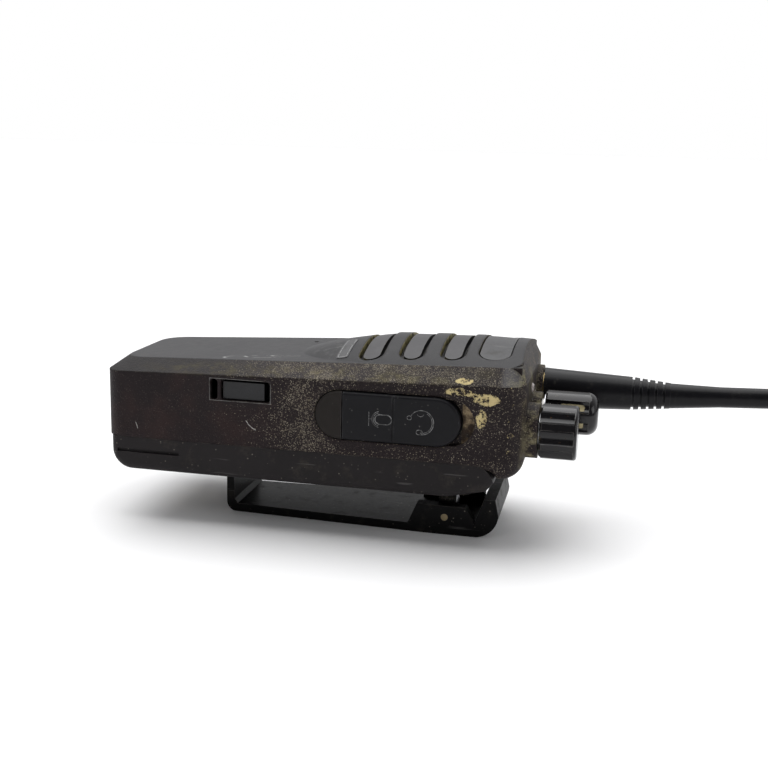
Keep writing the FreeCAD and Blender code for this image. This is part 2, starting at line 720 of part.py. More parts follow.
def board_pieces():
    """The shielding can, the chips under no shield, and the screws that hold board and case."""
    top = "board_z+board_thick"
    can = cut(box("22", "55", "-16", "12", top, f"{top}+3.4"),
              box("22.4", "54.6", "-15.6", "11.6", top, f"{top}+3"))
    add("rf_shield", can)
    chips = [box(x, x + 7, y, y + 7, top, f"{top}+1.1") for x, y in ((64, 4), (74, -3), (88, 10))]
    add("board_chips", group(*chips))
    screws = []
    for x, y in BOARD_POSTS:
        body = fuse(rod("z", x, y, top, "1.9", "1.2"),
                    rod("z", x, y, "chassis_z+0.2", "1.0", f"{top}-chassis_z"))
        screws.append(cut(body, rod("z", x, y, f"{top}+0.6", "0.7", "1")))
    add("board_screws", group(*screws))
    screws = []
    for x, y in CASE_POSTS:
        body = fuse(rod("z", x, y, "chassis_z-0.3", "2.2", "1.2"),
                    rod("z", x, y, "chassis_z+0.8", "1.2", "8"))
        screws.append(cut(body, rod("z", x, y, "chassis_z-0.4", "0.9", "0.8")))
    add("case_screws", group(*screws))


# ---- controls and antenna on the deck --------------------------------------------------------------

CONTROLS = {
    "volume": ("volume_y", "volume_z", 5.0),
    "channel": ("channel_y", "channel_z", 5.2),
}


def control(name, shaft_end):
    """A rotary control: its case inside the deck with a threaded bushing, and the shaft that turns."""
    y, z, half = CONTROLS[name]
    case = box("107.6", "deck_inner-0.1", f"{y}-{half}", f"{y}+{half}", f"{z}-{half}", f"{z}+{half}")
    bushing = rod("x", "deck_inner-0.2", y, z, "bushing_radius", "124.6-deck_inner")
    bore = rod("x", "109", y, z, "shaft_radius+running_fit", "20")
    add(f"{name}_control", cut(fuse(case, bushing), bore))
    shaft = rod("x", "109.4", y, z, "shaft_radius", f"{shaft_end}-109.4")
    flat = box("125.6", "140", f"{y}-4", f"{y}+4", f"{z}+1.7", f"{z}+4")
    add(f"{name}_shaft", cut(shaft, flat))


def shaft_hole(y, z, start, end):
    """The knob's own bore, a round with a flat, to fit the shaft's."""
    return cut(rod("x", start, y, z, "shaft_radius", f"({end})-({start})"),
               box("125.6", "140", f"{y}-4", f"{y}+4", f"{z}+1.7", f"{z}+4"))


def knob(label, y, z, radius, end, edge, count, flute_radius, flute_reach):
    """A turned knob with scalloped sides: the scallops stop short of its outer end."""
    body = new_body(f"{label}_turned")
    sketch = new_sketch(body, "XZ_Plane")
    outline(sketch, [
        ("knob_start", "0"), (end, "0"), (end, f"{radius}-{edge}", edge, 1),
        (f"{end}-{edge}", radius), ("knob_start+0.6", radius), ("knob_start", f"{radius}-0.6"),
    ])
    turned = body.newObject("PartDesign::Revolution", "turned")
    turned.Profile = sketch
    turned.ReferenceAxis = (sketch, ["H_Axis"])
    doc.recompute()
    flute = pocket(body, "YZ_Plane", "knob_start-1", f"{end}-{flute_reach}", circle,
                   "0", f"{radius}+{flute_radius}-1.15", flute_radius)
    pattern = body.newObject("PartDesign::PolarPattern", "flutes")
    pattern.Originals = [flute]
    pattern.Axis = (flute.Profile[0], ["N_Axis"])
    pattern.Angle = 360
    pattern.Occurrences = count
    body.Tip = pattern
    doc.recompute()
    pocket(body, "YZ_Plane", "knob_start-1", "125.2", circle, "0", "0", "bushing_radius+1.6")
    place(body, 0, y, z)
    shaft_end = f"{end}-2.2"
    return add(label, cut(body, shaft_hole(y, z, "124", shaft_end)))


def deck_controls():
    control("volume", "volume_end-2.4")
    control("channel", "channel_end-2.4")
    knob("volume_knob", "volume_y", "volume_z", "volume_radius-0.1", "volume_end", "0.9", 8, "2.6", "0.9")
    knob("channel_knob", "channel_y", "channel_z", "channel_radius", "channel_end", "3.2", 6, "2.2", "2.6")
    nuts = []
    for y, z, _ in CONTROLS.values():
        flats = box("123.35", "124.45", f"{y}-4.3", f"{y}+4.3", f"{z}-4.9", f"{z}+4.9")
        nuts.append(cut(common(flats, rod("x", "123.3", y, z, "4.9", "1.2")),
                        rod("x", "123", y, z, "bushing_radius", "2")))
    add("control_nuts", group(*nuts))
    lens = rod("x", "112.4", "led_y", "led_z", "led_radius-0.05", "case_length-112.3")
    dome = taper("x", "case_length+0.1", "led_y", "led_z", "led_radius-0.05", "led_radius-0.6", "0.5")
    add("status_light_pipe", fuse(lens, dome))


def antenna():
    """Threaded socket in the deck, the stud screwed into it, the radiating core and the rubber sleeve."""
    y, z = "antenna_y", "antenna_z"
    socket = cut(fuse(rod("x", "112.4", y, z, "5", "8.6"), rod("x", "115.2", y, z, "6.2", "2.2")),
                 rod("x", "113.6", y, z, "3.04", "9"))
    add("antenna_socket", socket)
    stud = fuse(rod("x", "114", y, z, "3", "14"), rod("x", "121.3", y, z, "4.6", "4"))
    add("antenna_stud", stud)
    rise = FreeCAD.Rotation(FreeCAD.Vector(0, 1, 0), 90 - size_of("whip_rise"))
    base = taper("x", "sleeve_start", y, z, "sleeve_radius", "4.9", "rib_start-sleeve_start")
    neck = taper("x", "rib_start-0.1", y, z, "4.2", "3.1", "whip_start-rib_start+0.2")
    ribs = []
    for number in range(5):
        start = f"rib_start+{number}*rib_pitch+0.7"
        width = "rib_pitch-0.7"
        wide, narrow = (f"4.9-{0.22 * (number + step)}" for step in (0.3, 1.0))
        ribs.append(taper("x", start, y, z, wide, narrow, width))
    joint = doc.addObject("Part::Sphere", "joint")
    bind(joint, Radius="whip_radius")
    place(joint, "whip_start", y, z)
    whip = []
    for offset, radius0, radius1, length in (
            ("0", "whip_radius", "3.0", "whip_mid"),
            ("whip_mid", "3.0", "tip_radius", "whip_length-whip_mid")):
        piece = doc.addObject("Part::Cone", "whip")
        bind(piece, Radius1=radius0, Radius2=radius1, Height=length)
        along = f"({offset})*cos(whip_rise*1deg)"
        up = f"({offset})*sin(whip_rise*1deg)"
        whip.append(place(piece, f"whip_start+{along}", y, f"{z}+{up}", rise))
    tip = doc.addObject("Part::Sphere", "tip")
    bind(tip, Radius="tip_radius")
    place(tip, "whip_start+whip_length*cos(whip_rise*1deg)", y, f"{z}+whip_length*sin(whip_rise*1deg)")
    core = doc.addObject("Part::Cylinder", "core")
    bind(core, Radius="1.2", Height="whip_length-8")
    place(core, "whip_start", y, z, rise)
    straight = rod("x", "127.8", y, z, "1.2", "whip_start-127.8")
    knee = doc.addObject("Part::Sphere", "knee")
    bind(knee, Radius="1.2")
    place(knee, "whip_start", y, z)
    radiator = fuse(straight, core, knee)
    room = fuse(rod("x", "121", y, z, "3", "7"), rod("x", "121", y, z, "4.6", "4.3"))
    add("antenna_core", cut(radiator, rod("x", "127", y, z, "2", "1")))
    add("antenna_sleeve", cut(fuse(base, neck, *ribs, joint, *whip, tip), room, radiator))


# ---- push-to-talk and side buttons ------------------------------------------------------------------

def side_keys():
    """Three keys in the +Y wall, the rubber sheet they push on, and the switches behind it."""
    for label, (x0, x1, z0, z1, radius) in KEYS.items():
        face = "key_face" if label == "ptt_button" else "key_face-0.5"
        body = new_body(f"{label}_body")
        pad(body, "XZ_Plane", "24.9", face, rounded_rectangle, x0, x1, z0, z1, radius)
        reach = size_of(face)
        dress(body, "Fillet", "0.7", lambda edge, reach=reach: at(edge, y=reach) or on_level(edge, reach))
        pad(body, "XZ_Plane", "24.2", "25.0", rounded_rectangle, f"{x0}-0.9", f"{x1}+0.9",
            f"{z0}-0.9" if label != "ptt_button" else z0, f"{z1}+0.9", radius)
        if label == "ptt_button":
            for number in range(5):
                middle = f"{x0}+8+{number}*3"
                pocket(body, "XZ_Plane", f"{face}-0.35", "30", pill, f"{middle}-0.5", f"{middle}+0.5",
                       f"{z0}+3.5", f"{z1}-3.5")
        add(label, body)
    sheet = box("48.5", "105.5", "22.4", "23.0", "18.4", "26.8")
    add("side_key_membrane", sheet)
    board = box("48.5", "105.5", "20.9", "21.7", "18.4", "26.8")
    add("side_key_board", board)
    domes = [rod("y", x, "21.7", "22.4", "2.6", "0.5") for x in ("54.2", "76", "99.5")]
    add("key_domes", group(*domes))


def on_level(edge, level):
    """True if both ends of the edge lie on Y = level."""
    return all(abs(vertex.Point.y - level) < 0.01 for vertex in edge.Vertexes)


# ---- accessory jacks and their cover ----------------------------------------------------------------

def jack_cover():
    """Rubber cover in two stretches: the glued tail and the flap that folds out along the web."""
    stretches = {
        "jack_cover_tail": ("cover_face+0.15", "cover_floor", "fold_x-gap/2", "case_length"),
        "jack_cover_flap": ("cover_face", "cover_floor-0.25", "0", "fold_x+gap/2"),
    }
    for label, (face, back, cut_low, cut_high) in stretches.items():
        body = new_body(f"{label}_body")
        pad(body, "XZ_Plane", face, back, pill, "cover_low", "cover_high", "cover_bottom", "cover_top")
        level = size_of(face)
        dress(body, "Fillet", "0.8", lambda edge, level=level: on_level(edge, level))
        pocket(body, "XZ_Plane", "-30", "-20", rectangle, cut_low, cut_high, "10", "40")
        if label == "jack_cover_flap":
            pocket(body, "XZ_Plane", "-30", f"{face}+0.25", rectangle, "84.4", "85.0", "10", "40")
        add(label, body)


def jack_panel():
    """The floor of the jack cover's recess, set in the thick wall, with a round mouth for each plug."""
    body = new_body("panel_body")
    inset = "gap-0.03"
    pad(body, "XZ_Plane", "cover_floor", "-23.3", pill, f"cover_low-({inset})", f"cover_high+({inset})",
        f"cover_bottom-({inset})", f"cover_top+({inset})")
    for centre, radius in (("mic_jack_x", "2.1"), ("ear_jack_x", "2.9")):
        pocket(body, "XZ_Plane", "-25", "-23", circle, centre, "jack_z", radius)
    return add("jack_panel", body)


def jack_block():
    """Moulded block with the two sockets; each has a short snout that fills its mouth in the panel."""
    block = fuse(
        box("76.1", "99.1", "-23.25", "-9.4", "18.1", "24.3"),
        rod("y", "mic_jack_x", "-24.5", "jack_z", "2.05", "2"),
        rod("y", "ear_jack_x", "-24.5", "jack_z", "2.85", "2"),
    )
    tools = [
        rod("y", "mic_jack_x", "-25", "jack_z", "mic_bore", "12"),
        rod("y", "ear_jack_x", "-25", "jack_z", "ear_bore", "14.2"),
        box("85.8", "87.8", "-24", "-13", "17", "26"),
    ]
    add("jack_block", cut(block, *tools))
    leaves = [
        box("mic_jack_x-1", "mic_jack_x+1", "-20", "-12", "24.35", "24.6"),
        box("ear_jack_x-1", "ear_jack_x+1", "-20", "-10", "24.35", "24.6"),
    ]
    add("jack_contacts", group(*leaves))


# ---- battery ---------------------------------------------------------------------------------------

def battery_side(sketch):
    """The battery seen from the side: rounded charging end, flat back, rising round nose."""
    low, top = "battery_low", "battery_top"
    outline(sketch, [
        (low, top), (low, "6", "6", 1), (f"{low}+6", "0"), ("99.5", "0"), ("110.3", "2.3"),
        ("nose_x", "4.9", "5.6", 1), ("106.8", top),
    ])


def battery_rear_shell():
    body = new_body("battery_rear_body")
    half = "battery_half"
    pad(body, "XZ_Plane", f"-{half}", half, battery_side)
    dress(body, "Fillet", "2.2", long_low_edge)
    pocket(body, "XY_Plane", "1.6", "12", rounded_rectangle, "3.4", "104", "-25.4", "25.4", "2")
    pocket(body, "YZ_Plane", "0", "3.8", rectangle, "-9.3", "9.3", "4.1", "9.2")
    for side in (-1, 1):
        y0, y1 = ("-29", "-26.4") if side < 0 else ("26.4", "29")
        pocket(body, "XZ_Plane", y0, y1, rectangle, "3.6", "22.4", "5.4", "6.5")
    for number in range(3):
        pocket(body, "XY_Plane", "-1", "0.5", circle, "12", f"{(number - 1) * 8}", "2.5")
    for x, y in CLIP_SCREWS:
        pad(body, "XY_Plane", "1.5", "3.2", circle, str(x), str(y), "2.8")
        pocket(body, "XY_Plane", "-1", "3", circle, str(x), str(y), "1.28")
    return add("battery_rear_shell", body)


def long_low_edge(edge):
    middle = edge.CenterOfMass
    return middle.z < 5.5 and abs(abs(middle.y) - size_of("battery_half")) < 0.01


CLIP_SCREWS = [(50, 0), (80, 0)]


def battery_lid():
    """The face towards the radio, with the raised cell box and its rail hooks."""
    plate = rounded(box("3.5", "103.9", "-25.3", "25.3", "8.3", "battery_top"), "2",
                    lambda edge: runs_along(edge, UP))
    low, high, half, top = "cell_box_low", "cell_box_high", "cell_box_half", "cell_box_top"
    raised = box(low, high, f"-{half}", half, "battery_top-0.5", top)
    hooks = []
    for start in (24, 60):
        for side in (-1, 1):
            y0, y1 = (f"{half}-0.1", "21.3") if side > 0 else ("-21.3", f"-{half}+0.1")
            hooks.append(box(start, f"{start}+14", y0, y1, "12.9", "14.6"))
    room = box(f"{low}+1.2", f"{high}-1.2", f"-{half}+1.2", f"{half}-1.2", "8", f"{top}-1.2")
    pads = [box("93.8", "97.2", f"{y}-1.5", f"{y}+1.5", f"{top}-0.3", f"{top}+1") for y in (-6, 0, 6)]
    add("battery_lid", cut(fuse(plate, raised, *hooks), room, *pads))
    pads = [box("93.9", "97.1", f"{y}-1.4", f"{y}+1.4", f"{top}-0.3", f"{top}+0.05") for y in (-6, 0, 6)]
    add("battery_terminals", group(*pads))


def battery_inside():
    for number in (0, 1):
        start = 21.8 + number * 38.4
        cell = rounded(box(start, f"{start}+37.8", "-18", "18", "3.3", "13.9"), "2.5",
                       lambda edge: runs_along(edge, FreeCAD.Vector(0, 1, 0)))
        add(f"battery_cell_{number + 1}", cell)
    add("protection_board", box("8", "17.5", "-15", "15", "4.6", "5.8"))
    dots = [rod("z", "12", y, "-0.0", "2.4", "0.45") for y in ("-8", "0", "8")]
    add("charging_contacts", group(*dots))


def contact_block():
    """Spring contacts on the chassis that press on the battery's pads."""
    block = box("92.4", "98.6", "-8.6", "8.6", "chassis_z-0.1", "board_z-0.1")
    slots = [box("93.6", "97.4", f"{y}-1", f"{y}+1", "15", "21") for y in (-6, 0, 6)]
    add("contact_block", cut(block, *slots))
    leaves = [box("94", "97", f"{y}-0.8", f"{y}+0.8", "cell_box_top+0.25", "board_z-0.2") for y in (-6, 0, 6)]
    add("spring_contacts", group(*leaves))


def latch():
    """Sliding catch at the charging end of the battery, on two small coil springs."""
    lip = rounded(box("-0.4", "3.3", "-9", "9", "6.4", "8.9"), "0.6",
                  lambda edge: runs_along(edge, FreeCAD.Vector(0, 1, 0)) and edge.CenterOfMass.x < 1)
    neck = box("3.2", "3.7", "-9", "9", "6.4", "7.9")
    add("battery_latch", fuse(lip, neck, box("3.6", "4.9", "-10.4", "10.4", "5.4", "8.0")))
    coils = [coil("z", "4.25", y, "1.75", 0.45, 0.62, 5.6, 0.13) for y in ("-6", "6")]
    add("latch_springs", group(*coils))


def coil(axis, x, y, z, radius, pitch, turns, wire):
    """A coil of round wire that starts at x, y, z and winds along +axis."""
    helix = doc.addObject("Part::Helix", "helix")
    helix.Radius = radius
    helix.Pitch = pitch
    helix.Height = pitch * turns
    section = doc.addObject("Part::Circle", "section")
    section.Radius = wire
    section.Placement = FreeCAD.Placement(FreeCAD.Vector(radius, 0, 0),
                                          FreeCAD.Rotation(FreeCAD.Vector(1, 0, 0), 90))
    sweep = doc.addObject("Part::Sweep", "coil")
    sweep.Sections = [section]
    sweep.Spine = (helix, ["Edge1"])
    sweep.Solid = True
    sweep.Frenet = True
    return place(sweep, x, y, z, TURNS[axis])


# ---- belt clip -------------------------------------------------------------------------------------

def clip_base():
    """Plate screwed to the battery's back, with two lugs for the pin and a row of weight-saving pockets."""
    plate = rounded(box("40", "104.5", "-12.5", "12.5", "-3.4", "0"), "2.5",
                    lambda edge: runs_along(edge, UP))
    lugs = []
    for side in (-1, 1):
        y0, y1 = ("lug_inner", "lug_outer") if side > 0 else ("-lug_outer", "-lug_inner")
        lugs.append(box("pivot_x-2.3", "pivot_x+2.3", y0, y1, "pivot_z", "-3"))
        lugs.append(rod("y", "pivot_x", y0, "pivot_z", "2.3", "lug_outer-lug_inner"))
    pockets = [box(f"{44 + 6 * number}", f"{47.6 + 6 * number}", "-13", "-10.6", "-2.6", "-1.0")
               for number in range(7)]
    pockets += [box(f"{44 + 6 * number}", f"{47.6 + 6 * number}", "10.6", "13", "-2.6", "-1.0")
                for number in range(7)]
    holes = [rod("z", x, y, "-5", "1.4", "6") for x, y in CLIP_SCREWS]
    holes += [rod("z", x, y, "-5", "2.4", "2.8") for x, y in CLIP_SCREWS]
    bore = rod("y", "pivot_x", "-20", "pivot_z", "pin_radius", "40")
    add("clip_base", cut(fuse(plate, *lugs), *pockets, *holes, bore))
    screws = []
    for x, y in CLIP_SCREWS:
        screw = fuse(rod("z", x, y, "-3.3", "2.3", "1.05"), rod("z", x, y, "-2.4", "1.25", "5.2"))
        screws.append(cut(screw, box(x - 2, x + 2, y - 0.3, y + 0.3, "-4", "-2.8")))
    add("clip_screws", group(*screws))


def clip_side(sketch):
    """The clip arm seen from the side: hooked tip, straight blade, thumb rest turned up at the heel."""
    floor = "-rest_height"
    inner = "-rest_height+blade_thick"
    outline(sketch, [
        ("tip_x", "-0.35"), ("tip_x", f"{floor}+3", "3", 1), ("tip_x+3", floor), ("106.6", floor, "7", 1),
        ("clip_end", f"{floor}+7.0"), ("clip_end-1.0", "-3.6"), ("clip_end-4.2", "-3.6"),
        ("105.6", inner), ("tip_x+3.4", inner), ("tip_x+2.4", f"{inner}+1.4"), ("tip_x+2.2", "-0.35"),
    ])


def clip_arm():
    body = new_body("clip_arm_body")
    pad(body, "XZ_Plane", "-heel_half", "heel_half", clip_side)
    cheek = [("86", "-rest_height+0.5"), ("106", "-rest_height+0.5"), ("106", "-10"), ("103.4", "-6.6"),
             ("89.5", "-6.4"), ("87", "-12.4")]
    for side in (-1, 1):
        y0, y1 = ("cheek_inner", "heel_half") if side > 0 else ("-heel_half", "-cheek_inner")
        pad(body, "XZ_Plane", y0, y1, outline, cheek)
    for side in (-1, 1):
        flank = [("20", f"{side}*tip_half"), ("tip_x", f"{side}*tip_half"), ("92", f"{side}*heel_half"),
                 ("92", f"{side}*(heel_half+3)"), ("20", f"{side}*(heel_half+3)")]
        pocket(body, "XY_Plane", "-20", "2", outline, flank if side < 0 else flank[::-1])
    pocket(body, "XZ_Plane", "-20", "20", circle, "pivot_x", "pivot_z", "pin_radius+running_fit")
    return add("clip_arm", body)


def clip_pin():
    return add("clip_pin", rod("y", "pivot_x", "-heel_half+0.1", "pivot_z", "pin_radius", "2*heel_half-0.2"))


def clip_spring():
    """Torsion spring round the pin, with a leg under the base plate and one on the arm's heel."""
    wire, radius, pitch, turns = 0.4, 1.7, 1.05, 6.5
    low = -pitch * turns / 2
    winding = coil("y", "pivot_x", str(low), "pivot_z", radius, pitch, turns, wire)
    legs = [
        leg((0, low, -radius), (5.6, low, -1.9), wire),
        leg((0, -low, radius), (5.2, -low, 5.9), wire),
    ]
    add("clip_spring", group(winding, *legs))


def leg(start, end, wire):
    """A straight stretch of wire between two points given from the pin's middle."""
    run = FreeCAD.Vector(*end) - FreeCAD.Vector(*start)
    solid = doc.addObject("Part::Cylinder", "leg")
    solid.Radius = wire
    solid.Height = run.Length
    turn = FreeCAD.Rotation(UP, run)
    return place(solid, f"pivot_x+{start[0]}", str(start[1]), f"pivot_z+({start[2]})", turn)


# ---- export ----------------------------------------------------------------------------------------

def check_document():
    doc.recompute()
    for thing in doc.Objects:
        if "Invalid" in thing.State or "Error" in thing.State:
            raise RuntimeError(f"{thing.Label} failed: {thing.State}")
    for part in sub_parts:
        if part.Shape.isNull() or not part.Shape.isValid() or not part.Shape.Solids:
            raise RuntimeError(f"{part.Label} has no valid shape")


def export():
    os.makedirs("parts", exist_ok=True)
    for part in sub_parts:
        part.Shape.exportStep(f"parts/{part.Label}.step")


front_housing()
speaker_grille()
name_plate()
plate_shelf()
model_label()
speaker()
microphone()
chassis()
main_seal()
main_board()
board_pieces()
deck_controls()
antenna()
side_keys()
jack_cover()
jack_panel()
jack_block()
battery_rear_shell()
battery_lid()
battery_inside()
contact_block()
latch()
clip_base()
clip_arm()
clip_pin()
clip_spring()
check_document()
export()
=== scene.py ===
"""Looks of the portable radio: materials for every CAD node, printed symbols, wear, studio and camera."""
import json
import math

import bpy
from mathutils import Matrix, Vector
from mathutils.bvhtree import BVHTree


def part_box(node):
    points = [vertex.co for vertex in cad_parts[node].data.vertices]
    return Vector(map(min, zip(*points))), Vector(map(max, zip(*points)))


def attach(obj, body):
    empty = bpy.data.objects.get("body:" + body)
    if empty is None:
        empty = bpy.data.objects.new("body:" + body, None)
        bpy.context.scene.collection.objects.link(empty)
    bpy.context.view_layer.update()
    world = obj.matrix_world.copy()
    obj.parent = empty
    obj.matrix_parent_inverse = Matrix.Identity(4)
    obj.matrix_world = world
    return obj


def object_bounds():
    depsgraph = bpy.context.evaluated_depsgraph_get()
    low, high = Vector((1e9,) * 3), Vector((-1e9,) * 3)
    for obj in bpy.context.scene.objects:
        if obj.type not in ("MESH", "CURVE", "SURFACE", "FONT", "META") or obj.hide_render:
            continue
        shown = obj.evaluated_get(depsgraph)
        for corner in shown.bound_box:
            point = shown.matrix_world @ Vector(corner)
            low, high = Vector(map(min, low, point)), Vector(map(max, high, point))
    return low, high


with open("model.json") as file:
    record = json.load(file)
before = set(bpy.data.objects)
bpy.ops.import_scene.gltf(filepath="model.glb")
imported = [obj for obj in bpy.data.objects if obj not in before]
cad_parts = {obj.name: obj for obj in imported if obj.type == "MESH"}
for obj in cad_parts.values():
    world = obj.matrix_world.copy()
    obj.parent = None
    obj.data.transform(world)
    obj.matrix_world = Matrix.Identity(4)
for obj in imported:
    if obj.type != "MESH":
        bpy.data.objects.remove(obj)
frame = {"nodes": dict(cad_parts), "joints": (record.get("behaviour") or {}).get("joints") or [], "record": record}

NODES = frame["nodes"]
RECORD = frame["record"]
CAD_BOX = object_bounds()
MM = 0.001
FACE_START, FACE_SLOPE = 31.15, 0.046   # mm: the front face's height at the charging end, its rise per mm
COLLAR = 3.2                            # mm that the collars of the knobs stand out of the deck
SIDE_REACH = 28.0                       # mm from the middle to the outside of the case


def low(node):
    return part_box(node)[0]


def high(node):
    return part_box(node)[1]


def middle(node):
    return (low(node) + high(node)) / 2


# The case's own millimetres: X from the charging end, Y from its middle, Z from the battery's back.
CASE = Vector((low("front_housing").x, middle("battery_rear_shell").y, low("battery_rear_shell").z))
MOUNTS = {mount["name"]: Vector(mount["pos_m"]) for mount in RECORD["mounts"]}
PIVOTS = {joint["name"]: Vector(joint.get("pos_m") or (0, 0, 0)) for joint in frame["joints"]}


def case_mm(point):
    return (Vector(point) - CASE) / MM


def metres(x, y, z):
    return CASE + Vector((x, y, z)) * MM


# ---- shader building ---------------------------------------------------------------------------------

class Signal:
    """A shader socket that takes part in plain arithmetic."""

    def __init__(self, look, socket):
        self.look, self.socket = look, socket

    def __add__(self, other):
        return self.look.math("ADD", self, other)

    def __sub__(self, other):
        return self.look.math("SUBTRACT", self, other)

    def __rsub__(self, other):
        return self.look.math("SUBTRACT", other, self)

    def __mul__(self, other):
        return self.look.math("MULTIPLY", self, other)

    def __truediv__(self, other):
        return self.look.math("DIVIDE", self, other)

    def __pow__(self, other):
        return self.look.math("POWER", self, other)

    def __abs__(self):
        return self.look.math("ABSOLUTE", self)

    __radd__, __rmul__ = __add__, __mul__


class Look:
    """One material: a Principled shader and the nodes that drive it, in case millimetres."""

    def __init__(self, name):
        self.material = bpy.data.materials.new(name)
        self.material.use_nodes = True
        self.tree = self.material.node_tree
        self.tree.nodes.clear()
        self.shader = self.node("ShaderNodeBsdfPrincipled")
        output = self.node("ShaderNodeOutputMaterial")
        self.tree.links.new(self.shader.outputs[0], output.inputs[0])
        where = self.node("ShaderNodeTexCoord")
        shifted = self.vector("SUBTRACT", where.outputs["Object"], tuple(CASE))
        self.place = self.vector("SCALE", shifted, scale=1 / MM)
        self.x, self.y, self.z = self.split(self.place)
        self.nx, self.ny, self.nz = self.split(where.outputs["Normal"])

    def node(self, kind, **settings):
        made = self.tree.nodes.new(kind)
        for name, value in settings.items():
            setattr(made, name, value)
        return made

    def put(self, socket, value):
        if isinstance(value, Signal):
            value = value.socket
        if isinstance(value, bpy.types.NodeSocket):
            self.tree.links.new(value, socket)
        elif isinstance(value, (tuple, list)) and len(value) == 3 and socket.type == "RGBA":
            socket.default_value = (*value, 1)
        else:
            socket.default_value = value

    def math(self, operation, *values):
        made = self.node("ShaderNodeMath", operation=operation)
        for socket, value in zip(made.inputs, values):
            self.put(socket, value)
        return Signal(self, made.outputs[0])

    def vector(self, operation, a, b=None, scale=None):
        made = self.node("ShaderNodeVectorMath", operation=operation)
        self.put(made.inputs[0], a)
        if b is not None:
            self.put(made.inputs[1], b)
        if scale is not None:
            self.put(made.inputs["Scale"], scale)
        return made.outputs[0]

    def split(self, vector):
        made = self.node("ShaderNodeSeparateXYZ")
        self.put(made.inputs[0], vector)
        return [Signal(self, socket) for socket in made.outputs]

    def rise(self, value, start, end):
        """0 before start, 1 after end, smooth between."""
        made = self.node("ShaderNodeMapRange", interpolation_type="SMOOTHSTEP")
        for socket, number in zip(made.inputs, (value, start, end)):
            self.put(socket, number)
        return Signal(self, made.outputs[0])

    def within(self, value, start, end, soft):
        return self.rise(value, start - soft, start + soft) * self.rise(value, end + soft, end - soft)

    def stretched(self, factors):
        return self.vector("MULTIPLY", self.place, factors)

    def noise(self, size, detail=4.0, roughness=0.6, shift=0.0, stretch=None):
        """Noise from 0 to 1 whose blotches are about size mm across."""
        made = self.node("ShaderNodeTexNoise")
        base = self.stretched(stretch) if stretch else self.place
        self.put(made.inputs["Vector"], self.vector("ADD", base, (shift, shift * 1.7, -shift)))
        self.put(made.inputs["Scale"], 0.5 / size)
        self.put(made.inputs["Detail"], detail)
        self.put(made.inputs["Roughness"], roughness)
        return Signal(self, made.outputs[0])

    def cells(self, size, shift=0.0):
        """Distance to the nearest cell's middle, in cells, and a number of each cell's own."""
        made = self.node("ShaderNodeTexVoronoi")
        self.put(made.inputs["Vector"], self.vector("ADD", self.place, (shift, shift, shift)))
        self.put(made.inputs["Scale"], 1 / size)
        own = self.split(made.outputs["Color"])[0]
        return Signal(self, made.outputs["Distance"]), own

    def specks(self, size, density, shift=0.0):
        """Small dots, as many of the cells as density says."""
        distance, own = self.cells(size, shift)
        return self.rise(own, 1.0 - density, 1.06 - density) * self.rise(distance, 0.62, 0.28)

    def edges(self, radius):
        """1 where an edge turns within radius mm."""
        soft = self.node("ShaderNodeBevel", samples=4)
        self.put(soft.inputs["Radius"], radius * MM)
        plain = self.node("ShaderNodeNewGeometry")
        turn = self.node("ShaderNodeVectorMath", operation="DOT_PRODUCT")
        self.put(turn.inputs[0], soft.outputs[0])
        self.put(turn.inputs[1], plain.outputs["Normal"])
        return self.rise(Signal(self, turn.outputs["Value"]), 0.985, 0.9)

    def mix(self, share, a, b):
        made = self.node("ShaderNodeMix", data_type="RGBA")
        self.put(made.inputs[0], share)
        self.put(made.inputs[6], a)
        self.put(made.inputs[7], b)
        return made.outputs[2]

    def limit(self, value):
        made = self.math("ADD", value, 0.0)
        made.socket.node.use_clamp = True
        return made

    def bump(self, height, depth, soften=0.0):
        """A height from 0 to 1 that stands depth mm proud. soften rounds the edges' shading, in mm."""
        made = self.node("ShaderNodeBump")
        if soften:
            round_off = self.node("ShaderNodeBevel", samples=6)
            self.put(round_off.inputs["Radius"], soften * MM)
            self.put(made.inputs["Normal"], round_off.outputs[0])
        self.put(made.inputs["Strength"], 1.0)
        self.put(made.inputs["Distance"], depth * MM)
        self.put(made.inputs["Height"], height)
        self.put(self.shader.inputs["Normal"], made.outputs[0])

    def set(self, **values):
        for name, value in values.items():
            self.put(self.shader.inputs[name.replace("_", " ")], value)
        return self.material


def blob(look, x, z, width, height):
    """1 inside a rough oval on the -Y side, 0 outside it."""
    across = ((look.x - x) / (width / 2)) ** 2.0
    up = ((look.z - z) / (height / 2)) ** 2.0
    return look.rise(across + up, 1.5, 0.3)


TAN = (0.33, 0.27, 0.15)
CREAM = (0.62, 0.54, 0.29)
OCHRE = (0.50, 0.37, 0.17)
OLIVE = (0.20, 0.175, 0.085)
OLIVE_DUST = (0.24, 0.21, 0.10)
# SHADE: the near black painted into slot and grille walls as painted shade.
SHADE = (0.003, 0.003, 0.003)

# Paint on the side: mm along and up from the cover's top corner by the deck, width, height, strength.
PAINT_PATCHES = (
    (-0.9, 2.0, 8.6, 2.8, 1.0),
    (6.4, 0.4, 8.6, 4.0, 1.0),
    (5.4, -4.9, 3.8, 6.4, 1.0),
    (0.4, 4.7, 6.0, 1.7, 1.0),
    (13.0, -5.0, 3.4, 20.0, 0.45),
)
# Rubbed arcs on the face: middle along and across, half width, half length, all in mm.
RUBBED_ARCS = ((35.6, -15.2, 3.6, 2.0), (43.0, -13.2, 5.4, 1.6), (49.5, -11.6, 4.0, 0.9))


# ---- materials of what shows ----------------------------------------------------------------------------

